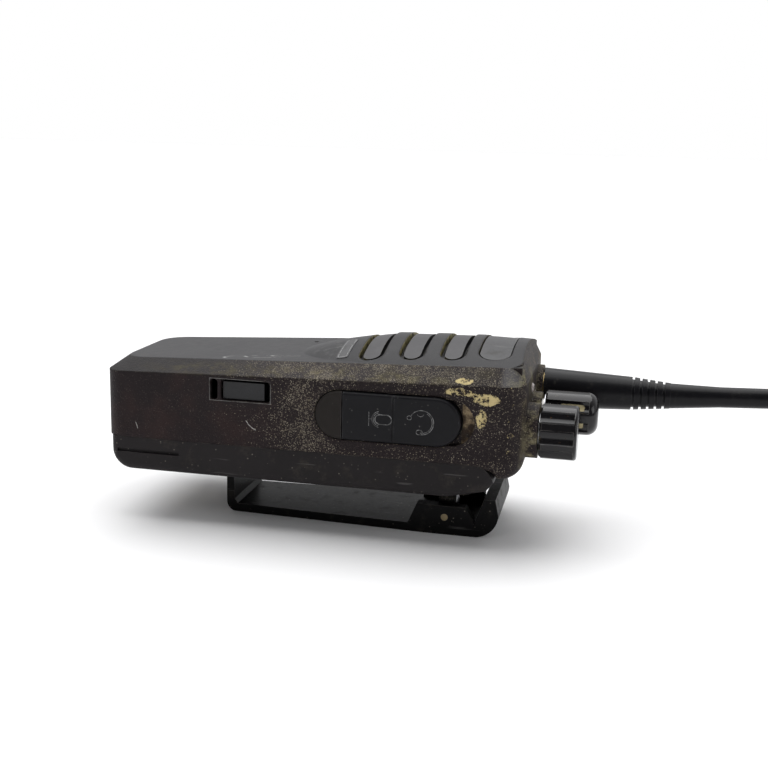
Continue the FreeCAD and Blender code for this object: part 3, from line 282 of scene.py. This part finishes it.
def case_material():
    """Textured dark moulding: grain, specks of dust in it, worn and painted places near the deck."""
    look = Look("case_black")
    x, y, z, nz = look.x, look.y, look.z, look.nz
    end = case_mm(high("front_housing")).x
    deck = end - COLLAR
    cover_low, cover_high = case_mm(low("jack_cover_tail")), case_mm(high("jack_cover_flap"))

    over_face = z - (FACE_START + x * FACE_SLOPE)
    face = look.rise(nz, 0.86, 0.90) * look.rise(over_face, -0.12, -0.02)
    bevel = look.rise(nz, 0.35, 0.6) * (1.0 - face) * look.rise(z, 27.0, 28.5)
    side = 1.0 - face
    grain_size = 0.5
    distance, own = look.cells(grain_size)
    blotch = look.noise(16.0, 5.0)
    fine = look.noise(1.3, 3.0)

    side_color = look.mix(blotch, (0.0060, 0.0040, 0.0048), (0.0190, 0.0125, 0.0135))
    face_color = look.mix(look.noise(12.0, 5.0, shift=4.0), (0.020, 0.020, 0.022), (0.036, 0.035, 0.037))
    color = look.mix(face, side_color, face_color)
    color = look.mix(bevel * look.rise(x, 60.0, 10.0) * 0.6, color, (0.004, 0.0035, 0.004))
    reddish = look.rise(look.noise(9.0, 3.0, shift=8.0), 0.5, 0.72) * side * look.rise(x, 90.0, 60.0)
    color = look.mix(reddish * 0.45, color, (0.034, 0.017, 0.015))

    toward_deck = look.rise(x, 24.0, 74.0)
    around_cover = look.rise(x, cover_low.x - 20.0, cover_low.x - 1.0) * look.rise(
        x, cover_low.x + 10.0, cover_low.x + 1.0) * look.rise(y, -20.0, -26.0)
    under_cover = look.within(z, cover_low.z - 3.0, cover_low.z, 1.0) * toward_deck
    clusters = look.rise(look.noise(4.0, 5.0, 0.65, shift=2.0), 0.34, 0.66)
    density = look.limit((0.025 + toward_deck * 0.20 + bevel * toward_deck * 0.36 + around_cover * 0.36
                          - under_cover * 0.12) * (0.25 + clusters) * side)
    specks = look.specks(0.27, density)
    faint = look.specks(0.24, look.limit(side * (0.10 + density * 1.4) + face * 0.10), shift=3.0)
    pale = look.mix(look.noise(1.1, 2.0, shift=5.0), (0.13, 0.10, 0.055), (0.46, 0.42, 0.34))
    color = look.mix(faint * 0.22, color, (0.16, 0.13, 0.11))
    color = look.mix(specks * 0.75, color, pale)

    crease_slope = 0.0267
    crease = look.within(z - x * crease_slope, 29.1, 30.9, 0.8) * look.within(x, 18.0, 97.0, 16.0)
    film = look.rise(look.noise(2.2, 7.0, 0.75, shift=1.0), 0.40, 0.72) * look.limit(
        crease * 0.6 + bevel * toward_deck * 0.22)
    color = look.mix(film * 0.55, color, OLIVE)

    grime = look.rise(look.noise(3.2, 8.0, 0.75, shift=6.0), 0.44, 0.66)
    deck_dust = look.limit(look.rise(x, deck - 1.8, deck + 0.4) * 0.55
                           + look.rise(x, end - 2.6, end - 1.4) * 0.5)
    color = look.mix(grime * deck_dust, color, look.mix(look.noise(2.0, 6.0), OLIVE, (0.26, 0.23, 0.15)))
    lip = bevel * look.rise(x, deck - 7.0, deck - 0.5) + face * look.rise(x, deck - 2.5, deck - 0.5)
    color = look.mix(look.limit(lip * grime * 0.9), color, (0.22, 0.20, 0.10))

    # Painted shade: the walls of the case's grille slots are coloured near black where shade falls; the dust laid
    # on them below is real.
    slots = look.rise(over_face, -1.5, 0.2) * look.rise(nz, 0.5, 0.2) * look.within(
        x, cover_low.x + 6.0, deck - 15.0, 1.0) * look.rise(abs(y), 21.0, 20.0)
    color = look.mix(slots, color, SHADE)
    dusty = look.rise(look.nx, 0.1, 0.5) * look.rise(look.noise(1.0, 6.0, 0.7, shift=19.0), 0.36, 0.56)
    color = look.mix(slots * dusty, color, OLIVE_DUST)

    notch = look.within(x, cover_high.x + 0.1, cover_high.x + 4.4, 0.2) * look.within(
        y, 0.7 - SIDE_REACH, -24.0, 0.15) * look.within(z, cover_low.z - 1.0, cover_high.z + 1.0, 0.3)
    silt = look.mix(look.rise(look.noise(1.6, 6.0, shift=9.0), 0.4, 0.66),
                    (0.030, 0.019, 0.012), (0.33, 0.25, 0.15))
    color = look.mix(notch * look.rise(fine, 0.25, 0.45), color, silt)

    ragged = look.noise(2.4, 10.0, 0.82, shift=7.0) * 0.6 + look.noise(0.9, 6.0, 0.8, shift=27.0) * 0.4
    paint = 0.0
    for along, up, width, height, strength in PAINT_PATCHES:
        paint = blob(look, cover_high.x + along, cover_high.z + up, width, height) * strength + paint
    paint = look.limit(paint) * look.rise(y, -10.0, -20.0)
    chips = look.rise(ragged * 1.4 + paint * 0.24, 0.90, 0.93) * look.rise(paint, 0.05, 0.3)
    color = look.mix(chips, color, look.mix(look.noise(1.2, 6.0), CREAM, OCHRE))

    # Painted sheen: a smooth worn patch on the bevel by the deck is coloured bluish grey like the reflection it
    # shows, and is also made less rough.
    worn_patch_and_painted_sheen = bevel * look.within(x, deck - 6.5, deck - 1.5, 1.0)
    color = look.mix(worn_patch_and_painted_sheen * 0.5, color, (0.075, 0.075, 0.09))

    scuff = scuffs(look) * face
    color = look.mix(scuff * 0.75, color, (0.40, 0.40, 0.39))
    haze = look.rise(look.noise(1.1, 2.0, shift=12.0), 0.52, 0.7) * look.rise(
        look.noise(10.0, 3.0, shift=3.0), 0.5, 0.7) * face * look.within(x, 42.0, 72.0, 8.0)
    color = look.mix(haze * 0.4, color, (0.20, 0.20, 0.19))

    window = window_rim(look)
    worn = look.edges(0.22) * look.rise(look.noise(2.2, 5.0, shift=11.0), 0.42, 0.6)
    color = look.mix(look.limit(worn * (0.20 + toward_deck * 0.3)), color, (0.20, 0.18, 0.14))
    color = look.mix(window, color, (0.24, 0.24, 0.23))

    rough = 0.52 - face * 0.10 + specks * 0.3 + film * 0.25 + fine * 0.10 - worn_patch_and_painted_sheen * 0.25 + chips * 0.2
    grain = (1.0 - look.rise(distance, 0.1, 0.75)) * (0.25 + own * 0.75)
    look.bump(grain * (side * 0.8 + face * 0.10) + fine * 0.25 + chips * 0.9, 0.09, soften=0.9)
    return look.set(Base_Color=color, Roughness=rough, Specular_IOR_Level=0.15)


def scuffs(look):
    """Pale rubbed arcs on the front face, between the charging end and the label."""
    wander = look.noise(6.0, 3.0, shift=14.0) * 4.0 - 2.0
    marks = 0.0
    for x, y, width, length in RUBBED_ARCS:
        across = ((look.x + wander - x) / width) ** 2.0
        along = ((look.y + wander * 0.5 - y) / length) ** 2.0
        marks = look.within(look.math("SQRT", across + along), 0.9, 1.05, 0.14) + marks
    broken = look.rise(look.noise(1.2, 5.0, 0.75, shift=13.0), 0.44, 0.56)
    parted = look.rise(look.noise(3.0, 2.0, shift=21.0), 0.44, 0.56)
    return look.limit(marks * broken * parted)


def window_rim(look):
    """A thin worn line round the catch window in the side, placed from the chassis's top corner."""
    corner = case_mm((low("chassis").x, 0, high("chassis").z))
    x0, x1, z0, z1 = corner.x + 28.1, corner.x + 45.7, corner.z - 5.9, corner.z + 0.2
    across = abs(look.x - (x0 + x1) / 2) - (x1 - x0) / 2
    up = abs(look.z - (z0 + z1) / 2) - (z1 - z0) / 2
    outside = look.math("MAXIMUM", across, up)
    line = look.within(outside, 0.02, 0.16, 0.06) * look.rise(look.noise(3.0, 4.0, shift=15.0), 0.34, 0.5)
    return look.limit(line * look.rise(look.y, -27.0, -27.3)) * 0.7


def smooth_material(name, dark, light, rough, grain=0.02, wear=0.35, dust=0.25, spec=0.4):
    """Satin moulding with faint grain, rubbed edges and some dust."""
    look = Look(name)
    fine = look.noise(0.7, 3.0)
    color = look.mix(look.noise(14.0, 5.0), dark, light)
    dirt = look.rise(look.noise(2.6, 7.0, 0.7, shift=3.0), 0.52, 0.74)
    color = look.mix(dirt * dust, color, (0.13, 0.115, 0.09))
    scratch = look.rise(look.noise(1.0, 3.0, 0.5, shift=5.0, stretch=(0.12, 1.0, 2.2)), 0.66, 0.72)
    color = look.mix(scratch * 0.25, color, (0.16, 0.155, 0.15))
    flecks = look.specks(0.45, look.limit(look.noise(8.0, 3.0, shift=2.0) * 0.06), shift=1.0)
    color = look.mix(flecks * 0.6, color, (0.32, 0.29, 0.24))
    worn = look.edges(0.25) * look.rise(look.noise(2.5, 5.0, shift=9.0), 0.40, 0.62)
    color = look.mix(worn * wear, color, (0.20, 0.19, 0.175))
    look.bump(fine, grain)
    rough = rough + fine * 0.14 + dirt * 0.2
    return look.set(Base_Color=color, Roughness=rough, Specular_IOR_Level=spec)


def cover_material(name, dark, light, rough):
    """Soft cover: nearly even, darker than the case, with fine scratches and a rim lightened partly by rubbing and
    partly by a painted highlight.
    """
    look = Look(name)
    fine = look.noise(0.5, 3.0)
    color = look.mix(look.noise(5.0, 5.0, 0.65), dark, light)
    scratch = look.rise(look.noise(0.9, 2.0, 0.5, shift=6.0, stretch=(0.6, 1.0, 0.25)), 0.70, 0.74)
    color = look.mix(scratch * 0.22, color, (0.10, 0.10, 0.11))
    motes = look.specks(0.55, look.limit(look.noise(6.0, 3.0) * 0.05), shift=2.0)
    color = look.mix(motes * 0.5, color, (0.25, 0.24, 0.22))
    # Partly painted highlight, partly real wear: the rounded rim is lightened where light catches it and where it
    # is rubbed.
    rim = look.edges(0.5) * look.rise(look.noise(3.0, 4.0, shift=2.0), 0.38, 0.6)
    color = look.mix(rim * 0.32, color, (0.12, 0.12, 0.125))
    look.bump(fine, 0.012)
    return look.set(Base_Color=color, Roughness=rough + fine * 0.16, Specular_IOR_Level=0.16)


def knob_material(name, pivot, base, flute, end, fill, orange):
    """Glossy knob with dirt packed in its flutes.

    base and flute are the radii outside and inside a flute and end is the knob's tip along X, all in mm.
    fill and orange are how much pale dirt and rust the flutes hold.
    """
    look = Look(name)
    axis = case_mm(pivot)
    across, up = look.y - axis.y, look.z - axis.z
    radius = look.math("SQRT", across * across + up * up)
    color = look.mix(look.noise(4.0, 4.0), (0.004, 0.0035, 0.004), (0.010, 0.009, 0.010))
    lump = look.noise(1.3, 6.0, 0.7, shift=4.0)
    packed = look.rise(radius, base - 0.3, flute + 0.15) * look.rise(look.nx, 0.75, 0.45)
    packed = packed * look.rise(look.x, end - 1.6, end - 5.0) * look.rise(look.x, end - 13.2, end - 9.5)
    cream = look.limit(look.rise(packed * fill + lump * 0.9, 1.02, 1.16))
    rust = packed * look.rise(look.noise(1.4, 6.0, 0.7, shift=9.0), 0.60, 0.66) * orange
    color = look.mix(rust, color, (0.20, 0.095, 0.03))
    color = look.mix(cream * 0.9, color, look.mix(lump, (0.36, 0.30, 0.17), (0.66, 0.58, 0.34)))
    worn = look.edges(0.3) * look.rise(look.noise(1.8, 5.0, shift=2.0), 0.36, 0.6)
    color = look.mix(worn * 0.45, color, (0.26, 0.25, 0.23))
    dust = look.rise(look.noise(1.6, 6.0, 0.7, shift=12.0), 0.60, 0.78)
    dust = dust * look.rise(look.x, end - 9.0, end - 11.5)
    color = look.mix(dust * 0.6, color, TAN)
    look.bump(look.noise(0.6, 3.0) * 0.3 + cream, 0.05)
    rough = 0.10 + look.noise(2.0, 4.0, shift=1.0) * 0.16 + cream * 0.6
    return look.set(Base_Color=color, Roughness=rough, Specular_IOR_Level=0.34)


def antenna_material():
    look = Look("antenna_rubber")
    fine = look.noise(0.5, 3.0)
    color = look.mix(look.noise(9.0, 5.0), (0.0035, 0.0035, 0.0050), (0.0085, 0.0080, 0.0090))
    dust = look.rise(look.noise(2.2, 6.0, 0.7, shift=2.0), 0.55, 0.75)
    near = look.rise(look.x, 134.0, 122.0) * 0.5 + 0.12
    color = look.mix(dust * near, color, (0.14, 0.13, 0.11))
    rubbed = look.edges(0.25) * look.rise(look.noise(1.5, 4.0, shift=3.0), 0.4, 0.6)
    color = look.mix(rubbed * 0.30, color, (0.13, 0.13, 0.135))
    look.bump(fine, 0.02)
    return look.set(Base_Color=color, Roughness=0.26 + fine * 0.16 + dust * 0.2, Specular_IOR_Level=0.16)


def grille_material():
    """Smooth bars with painted shade on their walls; the walls and rims that look back to the charging end hold
    dust.
    """
    look = Look("case_smooth")
    fine = look.noise(0.8, 3.0)
    color = look.mix(look.noise(8.0, 5.0), (0.022, 0.021, 0.024), (0.036, 0.034, 0.037))
    top = look.rise(look.nz, 0.5, 0.8)
    dust = look.rise(look.noise(1.3, 6.0, 0.7, shift=4.0), 0.40, 0.62)
    wall = 1.0 - top
    # Painted shade: the walls between the bars are coloured near black where shade falls.
    color = look.mix(look.limit(wall * 0.95), color, SHADE)
    dusty_wall = look.limit(wall * dust * look.rise(look.nx, -0.1, -0.5))
    color = look.mix(dusty_wall, color, (0.10, 0.085, 0.05))
    rim = look.edges(0.30) * dust * look.rise(look.nx, 0.2, -0.2)
    color = look.mix(rim * 0.4, color, (0.24, 0.21, 0.12))
    look.bump(fine, 0.02)
    return look.set(Base_Color=color, Roughness=0.45 + fine * 0.12, Specular_IOR_Level=0.4)


def metal_material(name, color, rough, brush=(1.0, 1.0, 6.0)):
    look = Look(name)
    streak = look.noise(0.6, 3.0, stretch=brush)
    tarnish = look.rise(look.noise(2.0, 6.0, 0.7, shift=3.0), 0.45, 0.75)
    dull = tuple(part * 0.45 for part in color)
    bright = tuple(min(1.0, part * 1.15) for part in color)
    tone = look.mix(tarnish * 0.6, look.mix(streak, color, bright), dull)
    look.bump(streak, 0.008)
    return look.set(Base_Color=tone, Metallic=1.0, Roughness=rough + streak * 0.15 + tarnish * 0.15)


def pin_material():
    """The hinge pin, tarnished brass of uneven tone."""
    look = Look("pin_brass")
    grain = look.noise(0.5, 4.0)
    color = look.mix(look.noise(0.8, 5.0, 0.7, shift=2.0), (0.16, 0.125, 0.07), (0.42, 0.34, 0.20))
    look.bump(grain, 0.02)
    return look.set(Base_Color=color, Metallic=0.55, Roughness=0.45 + grain * 0.25)


def plain_material(name, color, rough, detail=1.5, relief=0.02, metallic=0.0, spread=0.35):
    """Inner and small parts: the slot's own colour, uneven and slightly rough."""
    look = Look(name)
    fine = look.noise(detail * 0.3, 3.0)
    dark = tuple(part * (1 - spread) for part in color)
    light = tuple(min(1.0, part * (1 + spread)) for part in color)
    tone = look.mix(look.noise(detail * 3.0, 5.0, shift=2.0), dark, light)
    spots = look.rise(look.noise(detail, 6.0, 0.7, shift=7.0), 0.6, 0.75)
    tone = look.mix(spots * 0.25, tone, dark)
    look.bump(fine, relief)
    return look.set(Base_Color=tone, Metallic=metallic, Roughness=rough + fine * 0.15)


def cloth_material():
    look = Look("speaker_cloth")
    threads = look.math("SINE", look.x * 14.0) * look.math("SINE", look.y * 14.0)
    tone = look.mix(threads * 0.5 + 0.5, (0.004, 0.004, 0.004), (0.02, 0.02, 0.022))
    look.bump(threads, 0.05)
    return look.set(Base_Color=tone, Roughness=0.85 + look.noise(3.0) * 0.1)


def board_material():
    """Green solder mask over faint copper tracks."""
    look = Look("circuit_board")
    tracks = look.rise(look.math("SINE", look.x * 2.2 + look.noise(12.0) * 9.0), 0.72, 0.85)
    tone = look.mix(look.noise(10.0), (0.010, 0.075, 0.034), (0.016, 0.11, 0.05))
    tone = look.mix(tracks * 0.4, tone, (0.05, 0.19, 0.09))
    look.bump(tracks, 0.03)
    return look.set(Base_Color=tone, Roughness=0.32 + look.noise(1.0) * 0.1)


def lens_material():
    look = Look("clear_lens")
    tone = look.mix(look.noise(1.5), (0.30, 0.28, 0.27), (0.42, 0.36, 0.33))
    look.bump(look.noise(0.6), 0.01)
    return look.set(Base_Color=tone, Roughness=0.12 + look.noise(0.9, shift=3.0) * 0.12, Coat_Weight=0.4)


def print_material(name, color, wear):
    """Thin pale print, rubbed away in places."""
    look = Look(name)
    gone = look.rise(look.noise(0.7, 5.0, 0.75, shift=3.0), 0.60 - wear * 0.25, 0.72 - wear * 0.25)
    tone = look.mix(look.noise(1.5), tuple(part * 0.7 for part in color), color)
    tone = look.mix(gone * 0.85, tone, (0.02, 0.02, 0.021))
    look.bump(look.noise(0.3), 0.008)
    return look.set(Base_Color=tone, Roughness=0.55 + gone * 0.1)


def floor_material():
    look = Look("studio_floor")
    tone = look.mix(look.noise(120.0, 3.0), (0.86, 0.86, 0.865), (0.89, 0.89, 0.89))
    look.bump(look.noise(3.0, 3.0), 0.02)
    return look.set(Base_Color=tone, Roughness=0.75 + look.noise(60.0) * 0.1, Specular_IOR_Level=0.2)


def paint_nodes():
    """Gives every CAD node its material, by its slot in the record."""
    steel = metal_material("steel", (0.52, 0.52, 0.54), 0.28)
    brass = metal_material("brass_contact", (0.70, 0.53, 0.26), 0.30, (1.0, 6.0, 1.0))
    volume, channel = high("volume_knob"), high("channel_knob")
    by_slot = {
        "case_black": case_material(),
        "case_smooth": grille_material(),
        "plate_black": smooth_material("plate_black", (0.020, 0.020, 0.022), (0.034, 0.034, 0.037), 0.40,
                                       wear=0.3, dust=0.12),
        "label_dark": smooth_material("label_dark", (0.030, 0.030, 0.032), (0.048, 0.047, 0.05), 0.38,
                                      wear=0.2, dust=0.15),
        "adhesive": plain_material("adhesive", (0.012, 0.012, 0.012), 0.8),
        "speaker_cloth": cloth_material(),
        "paper_cone": plain_material("paper_cone", (0.05, 0.046, 0.042), 0.6),
        "steel": steel,
        "aluminium_plain": metal_material("aluminium_plain", (0.66, 0.66, 0.68), 0.35),
        "cast_chassis": plain_material("cast_chassis", (0.006, 0.006, 0.0075), 0.45, 0.8, 0.05, 0.1),
        "control_metal": metal_material("control_metal", (0.58, 0.57, 0.55), 0.3, (6.0, 1.0, 1.0)),
        "brass_contact": brass,
        "circuit_board": board_material(),
        "chip_black": plain_material("chip_black", (0.016, 0.016, 0.016), 0.5, 0.8),
        "cell_wrap": plain_material("cell_wrap", (0.05, 0.07, 0.20), 0.25, 4.0, 0.01),
        "clear_lens": lens_material(),
        "antenna_rubber": antenna_material(),
        "seal_rubber": plain_material("seal_rubber", (0.012, 0.012, 0.012), 0.6),
        "cover_rubber": cover_material("cover_rubber", (0.0030, 0.0030, 0.0042),
                                       (0.0075, 0.0072, 0.0090), 0.38),
        "key_rubber": cover_material("key_rubber", (0.008, 0.008, 0.009), (0.018, 0.017, 0.018), 0.46),
        "battery_black": smooth_material("battery_black", (0.0085, 0.0072, 0.0078),
                                         (0.020, 0.0170, 0.0178), 0.44,
                                         grain=0.03, wear=0.3, dust=0.18, spec=0.14),
        "clip_black": smooth_material("clip_black", (0.0016, 0.0016, 0.0018), (0.0045, 0.0043, 0.0045), 0.34,
                                      grain=0.012, wear=0.35, dust=0.12, spec=0.09),
    }
    own = {
        "volume_knob": knob_material("volume_gloss", PIVOTS["volume_turn"], 7.3, 6.4,
                                     case_mm(volume).x, 0.42, 0.5),
        "channel_knob": knob_material("channel_gloss", PIVOTS["channel_turn"], 5.85, 5.0,
                                      case_mm(channel).x, 0.78, 0.2),
        "jack_cover_tail": cover_material("cover_tail", (0.010, 0.0085, 0.0075), (0.022, 0.018, 0.016), 0.55),
        "clip_base": smooth_material("clip_base_dusty", (0.003, 0.003, 0.003), (0.009, 0.008, 0.008), 0.46,
                                     grain=0.03, wear=0.5, dust=0.5, spec=0.09),
        "clip_pin": pin_material(),
    }
    for part in RECORD["subparts"]:
        node = part["node"]
        thing = NODES[node]
        material = own.get(node) or by_slot[part["material_slot"]]
        thing.data.materials.clear()
        thing.data.materials.append(material)


# ---- printed symbols and marks ---------------------------------------------------------------------------

def ribbon(points, width, closed=False):
    """The two borders of a flat line of that width through the points, all in one plane (u, v)."""
    count = len(points)
    left, right = [], []
    for i, point in enumerate(points):
        before = points[i - 1] if i or closed else point
        after = points[(i + 1) % count] if i < count - 1 or closed else point
        run = (Vector(after) - Vector(before)).normalized()
        side = Vector((-run.y, run.x)) * width / 2
        left.append(Vector(point) + side)
        right.append(Vector(point) - side)
    return left, right


def printed(name, lines, lift, material, body):
    """A printed mark: flat lines laid on a surface. lift turns (u, v, height) into a point in metres."""
    vertices, faces = [], []
    for points, width, closed in lines:
        left, right = ribbon(points, width, closed)
        start, count = len(vertices), len(points)
        for a, b in zip(left, right):
            for height in (-0.02, 0.025):
                vertices += [lift(a.x, a.y, height), lift(b.x, b.y, height)]
        last = count if closed else count - 1
        for i in range(last):
            here, there = start + 4 * i, start + 4 * ((i + 1) % count)
            for p, q in ((0, 1), (1, 3), (3, 2), (2, 0)):
                faces.append((here + p, here + q, there + q, there + p))
        if not closed:
            end = start + 4 * (count - 1)
            faces += [(start, start + 2, start + 3, start + 1), (end, end + 1, end + 3, end + 2)]
    mesh = bpy.data.meshes.new(name)
    mesh.from_pydata([tuple(v) for v in vertices], [], faces)
    mesh.update()
    thing = bpy.data.objects.new(name, mesh)
    bpy.context.scene.collection.objects.link(thing)
    thing.data.materials.append(material)
    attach(thing, body)
    return thing


def arc(u, v, radius, start, end, steps=28):
    turns = [math.radians(start + (end - start) * i / steps) for i in range(steps + 1)]
    return [(u + radius * math.cos(turn), v + radius * math.sin(turn)) for turn in turns]


def capsule(u, v, length, width):
    """A closed outline with round ends, along u."""
    radius = width / 2
    reach = length / 2 - radius
    return arc(u + reach, v, radius, -90, 90, 12) + arc(u - reach, v, radius, 90, 270, 12)


def on_side(surface):
    """Case millimetres along X and Z, laid on a face that looks along -Y."""
    def lift(u, v, height):
        return metres(u, surface - height, v)
    return lift


def on_top(nodes):
    """Case millimetres along X and Y, dropped from above on the nodes' surface."""
    vertices, faces = [], []
    for node in nodes:
        mesh = NODES[node].data
        start = len(vertices)
        vertices += [v.co.copy() for v in mesh.vertices]
        faces += [tuple(start + i for i in polygon.vertices) for polygon in mesh.polygons]
    tree = BVHTree.FromPolygons(vertices, faces)

    def lift(u, v, height):
        above = metres(u, v, 60.0)
        hit = tree.ray_cast(above, Vector((0, 0, -1)))[0]
        return hit + Vector((0, 0, height * MM))
    return lift


def jack_symbols():
    """Outline symbols of a microphone and a headset on the jack cover, over their sockets."""
    ink = print_material("symbol_print", (0.20, 0.20, 0.20), 0.7)
    lift = on_side(case_mm(low("jack_cover_flap")).y)
    mic, ear = case_mm(MOUNTS["microphone_jack"]), case_mm(MOUNTS["headset_jack"])
    u, v = mic.x + 1.0, mic.z - 0.1     # the middle of the microphone's outline
    printed("symbol_microphone", [
        (capsule(u, v, 4.6, 2.7), 0.24, True),
        (arc(u - 0.9, v, 2.25, 100, 260), 0.17, False),
        (arc(u - 0.9, v, 1.85, 104, 256), 0.15, False),
        ([(u - 3.1, v), (u - 3.9, v)], 0.18, False),
        ([(u - 4.0, v - 2.0), (u - 4.0, v), (u - 4.0, v + 2.0)], 0.15, False),
    ], lift, ink, "jack_flap")
    u, v = ear.x + 0.1, ear.z - 0.1     # the middle of the headset's band
    printed("symbol_headset", [
        (arc(u, v, 3.35, -100, 155, 36), 0.22, False),
        (arc(u, v, 2.95, -96, 60, 26), 0.14, False),
        (capsule(u - 3.35, v + 1.1, 1.2, 1.1), 0.17, True),
        (capsule(u - 0.5, v - 2.75, 1.7, 1.3), 0.18, True),
        (arc(u - 0.3, v + 2.6, 0.95, -160, -20, 12), 0.16, False),
    ], lift, ink, "jack_flap")


def label_outline():
    """The thin frame printed on the blank label."""
    ink = print_material("outline_print", (0.26, 0.26, 0.26), 0.5)
    start, end = case_mm(low("model_label")), case_mm(high("model_label"))
    lift = on_top(["model_label"])
    inset, radius, step = 0.45, 0.6, 0.8
    u0, u1, v0, v1 = start.x + inset, end.x - inset, start.y + inset, end.y - inset
    corners = ((u1 - radius, v1 - radius, 0), (u0 + radius, v1 - radius, 90),
               (u0 + radius, v0 + radius, 180), (u1 - radius, v0 + radius, 270))
    points = []
    for u, v, turn in corners:
        points += arc(u, v, radius, turn, turn + 90, 5)
    dense = []
    for i, point in enumerate(points):
        after = points[(i + 1) % len(points)]
        steps = max(1, int((Vector(after) - Vector(point)).length / step))
        dense += [tuple(Vector(point).lerp(Vector(after), k / steps)) for k in range(steps)]
    printed("label_frame", [(dense, 0.22, True)], lift, ink, "radio")


def side_scratch():
    """A light curved scratch on the side, and a fainter one near the charging end."""
    ink = print_material("scratch_pale", (0.40, 0.39, 0.37), 0.25)
    lift = on_side(case_mm(low("battery_rear_shell")).y - 0.3)
    bright = [(42.7, 17.5), (43.5, 16.4), (44.5, 15.5), (45.6, 15.0)]
    faint = [(9.6, 14.6), (10.0, 13.6), (10.2, 12.7)]
    printed("side_scratch", [(bright, 0.22, False), (faint, 0.14, False)], lift, ink, "radio")


def deck_ticks():
    """Small white index marks on the deck, round the channel knob."""
    start, end = 6.4, 7.3               # mm from the knob's axis
    ink = print_material("tick_print", (0.62, 0.62, 0.60), 0.4)
    axis = case_mm(PIVOTS["channel_turn"])
    deck = case_mm(high("front_housing")).x - COLLAR
    lines = []
    for turn in range(-70, 90, 20):
        angle = math.radians(90 + turn)
        inner, outer = ((axis.y + r * math.cos(angle), axis.z + r * math.sin(angle)) for r in (start, end))
        lines.append(([inner, outer], 0.3, False))

    def lift(u, v, height):
        return metres(deck + height, u, v)
    printed("channel_ticks", lines, lift, ink, "radio")


# ---- studio --------------------------------------------------------------------------------------------

def studio():
    """Pale floor, surroundings that are brighter behind the object, and three soft lamps."""
    mesh = bpy.data.meshes.new("studio_floor")
    reach = 6.0                         # metres from the middle to the floor's edges
    mesh.from_pydata([(-reach, -reach, 0), (reach, -reach, 0), (reach, reach, 0), (-reach, reach, 0)], [],
                     [(0, 1, 2, 3)])
    floor = bpy.data.objects.new("studio_floor", mesh)
    bpy.context.scene.collection.objects.link(floor)
    floor.data.materials.append(floor_material())

    world = bpy.data.worlds.new("studio_air")
    bpy.context.scene.world = world
    world.use_nodes = True
    tree = world.node_tree
    tree.nodes.clear()
    output = tree.nodes.new("ShaderNodeOutputWorld")
    lit, seen, share, path = (tree.nodes.new(kind) for kind in (
        "ShaderNodeBackground", "ShaderNodeBackground", "ShaderNodeMixShader", "ShaderNodeLightPath"))
    where, split, slope, tone = (tree.nodes.new(kind) for kind in (
        "ShaderNodeTexCoord", "ShaderNodeSeparateXYZ", "ShaderNodeMapRange", "ShaderNodeMix"))
    tone.data_type = "RGBA"
    tree.links.new(where.outputs["Generated"], split.inputs[0])
    tree.links.new(split.outputs["Y"], slope.inputs[0])
    slope.inputs[1].default_value, slope.inputs[2].default_value = -0.4, 0.6
    tree.links.new(slope.outputs[0], tone.inputs[0])
    tone.inputs[6].default_value = (0.10, 0.10, 0.105, 1)
    tone.inputs[7].default_value = (0.85, 0.85, 0.86, 1)
    tree.links.new(tone.outputs[2], lit.inputs["Color"])
    seen.inputs["Color"].default_value = (1, 1, 1, 1)
    tree.links.new(path.outputs["Is Camera Ray"], share.inputs[0])
    tree.links.new(lit.outputs[0], share.inputs[1])
    tree.links.new(seen.outputs[0], share.inputs[2])
    tree.links.new(share.outputs[0], output.inputs[0])

    centre = (CAD_BOX[0] + CAD_BOX[1]) / 2
    sun = bpy.data.lights.new("lamp_sky", "SUN")
    sun.energy, sun.angle = 3.0, math.radians(70)
    lamp(sun, centre + Vector((-0.1, 0.25, 1.0)), centre)
    for name, offset, size, power in (
            ("lamp_left", (-0.6, -0.6, 0.5), 0.5, 1.2), ("lamp_deck", (0.75, -0.25, 0.35), 0.4, 1.2)):
        data = bpy.data.lights.new(name, "AREA")
        data.shape, data.size, data.energy = "SQUARE", size, power
        lamp(data, centre + Vector(offset), centre)


def lamp(data, place, target):
    thing = bpy.data.objects.new(data.name, data)
    thing.location = place
    thing.rotation_euler = (target - place).to_track_quat("-Z", "Y").to_euler()
    bpy.context.scene.collection.objects.link(thing)


def camera():
    """Looks at the jack side from a little above and a little towards the deck, held slightly askew."""
    data = bpy.data.cameras.new("camera")
    data.sensor_width = 36.0
    data.lens = 53.55
    data.clip_start, data.clip_end = 0.01, 20.0
    thing = bpy.data.objects.new("camera", data)
    bpy.context.scene.collection.objects.link(thing)
    eye = metres(144.35, -321.69, 97.6)
    heading, drop, roll = -0.2094, 0.2187, 0.0249     # radians: turned left, tipped down, rolled
    ahead = Vector((math.sin(heading) * math.cos(drop), math.cos(heading) * math.cos(drop), -math.sin(drop)))
    right = ahead.cross(Vector((0, 0, 1))).normalized()
    up = right.cross(ahead)
    turned = right * math.cos(roll) + up * math.sin(roll)
    above = up * math.cos(roll) - right * math.sin(roll)
    thing.matrix_world = Matrix.LocRotScale(eye, Matrix((turned, above, -ahead)).transposed(), None)
    bpy.context.scene.camera = thing


paint_nodes()
jack_symbols()
label_outline()
side_scratch()
deck_ticks()
studio()
camera()
bpy.context.scene.view_settings.view_transform = "Standard"
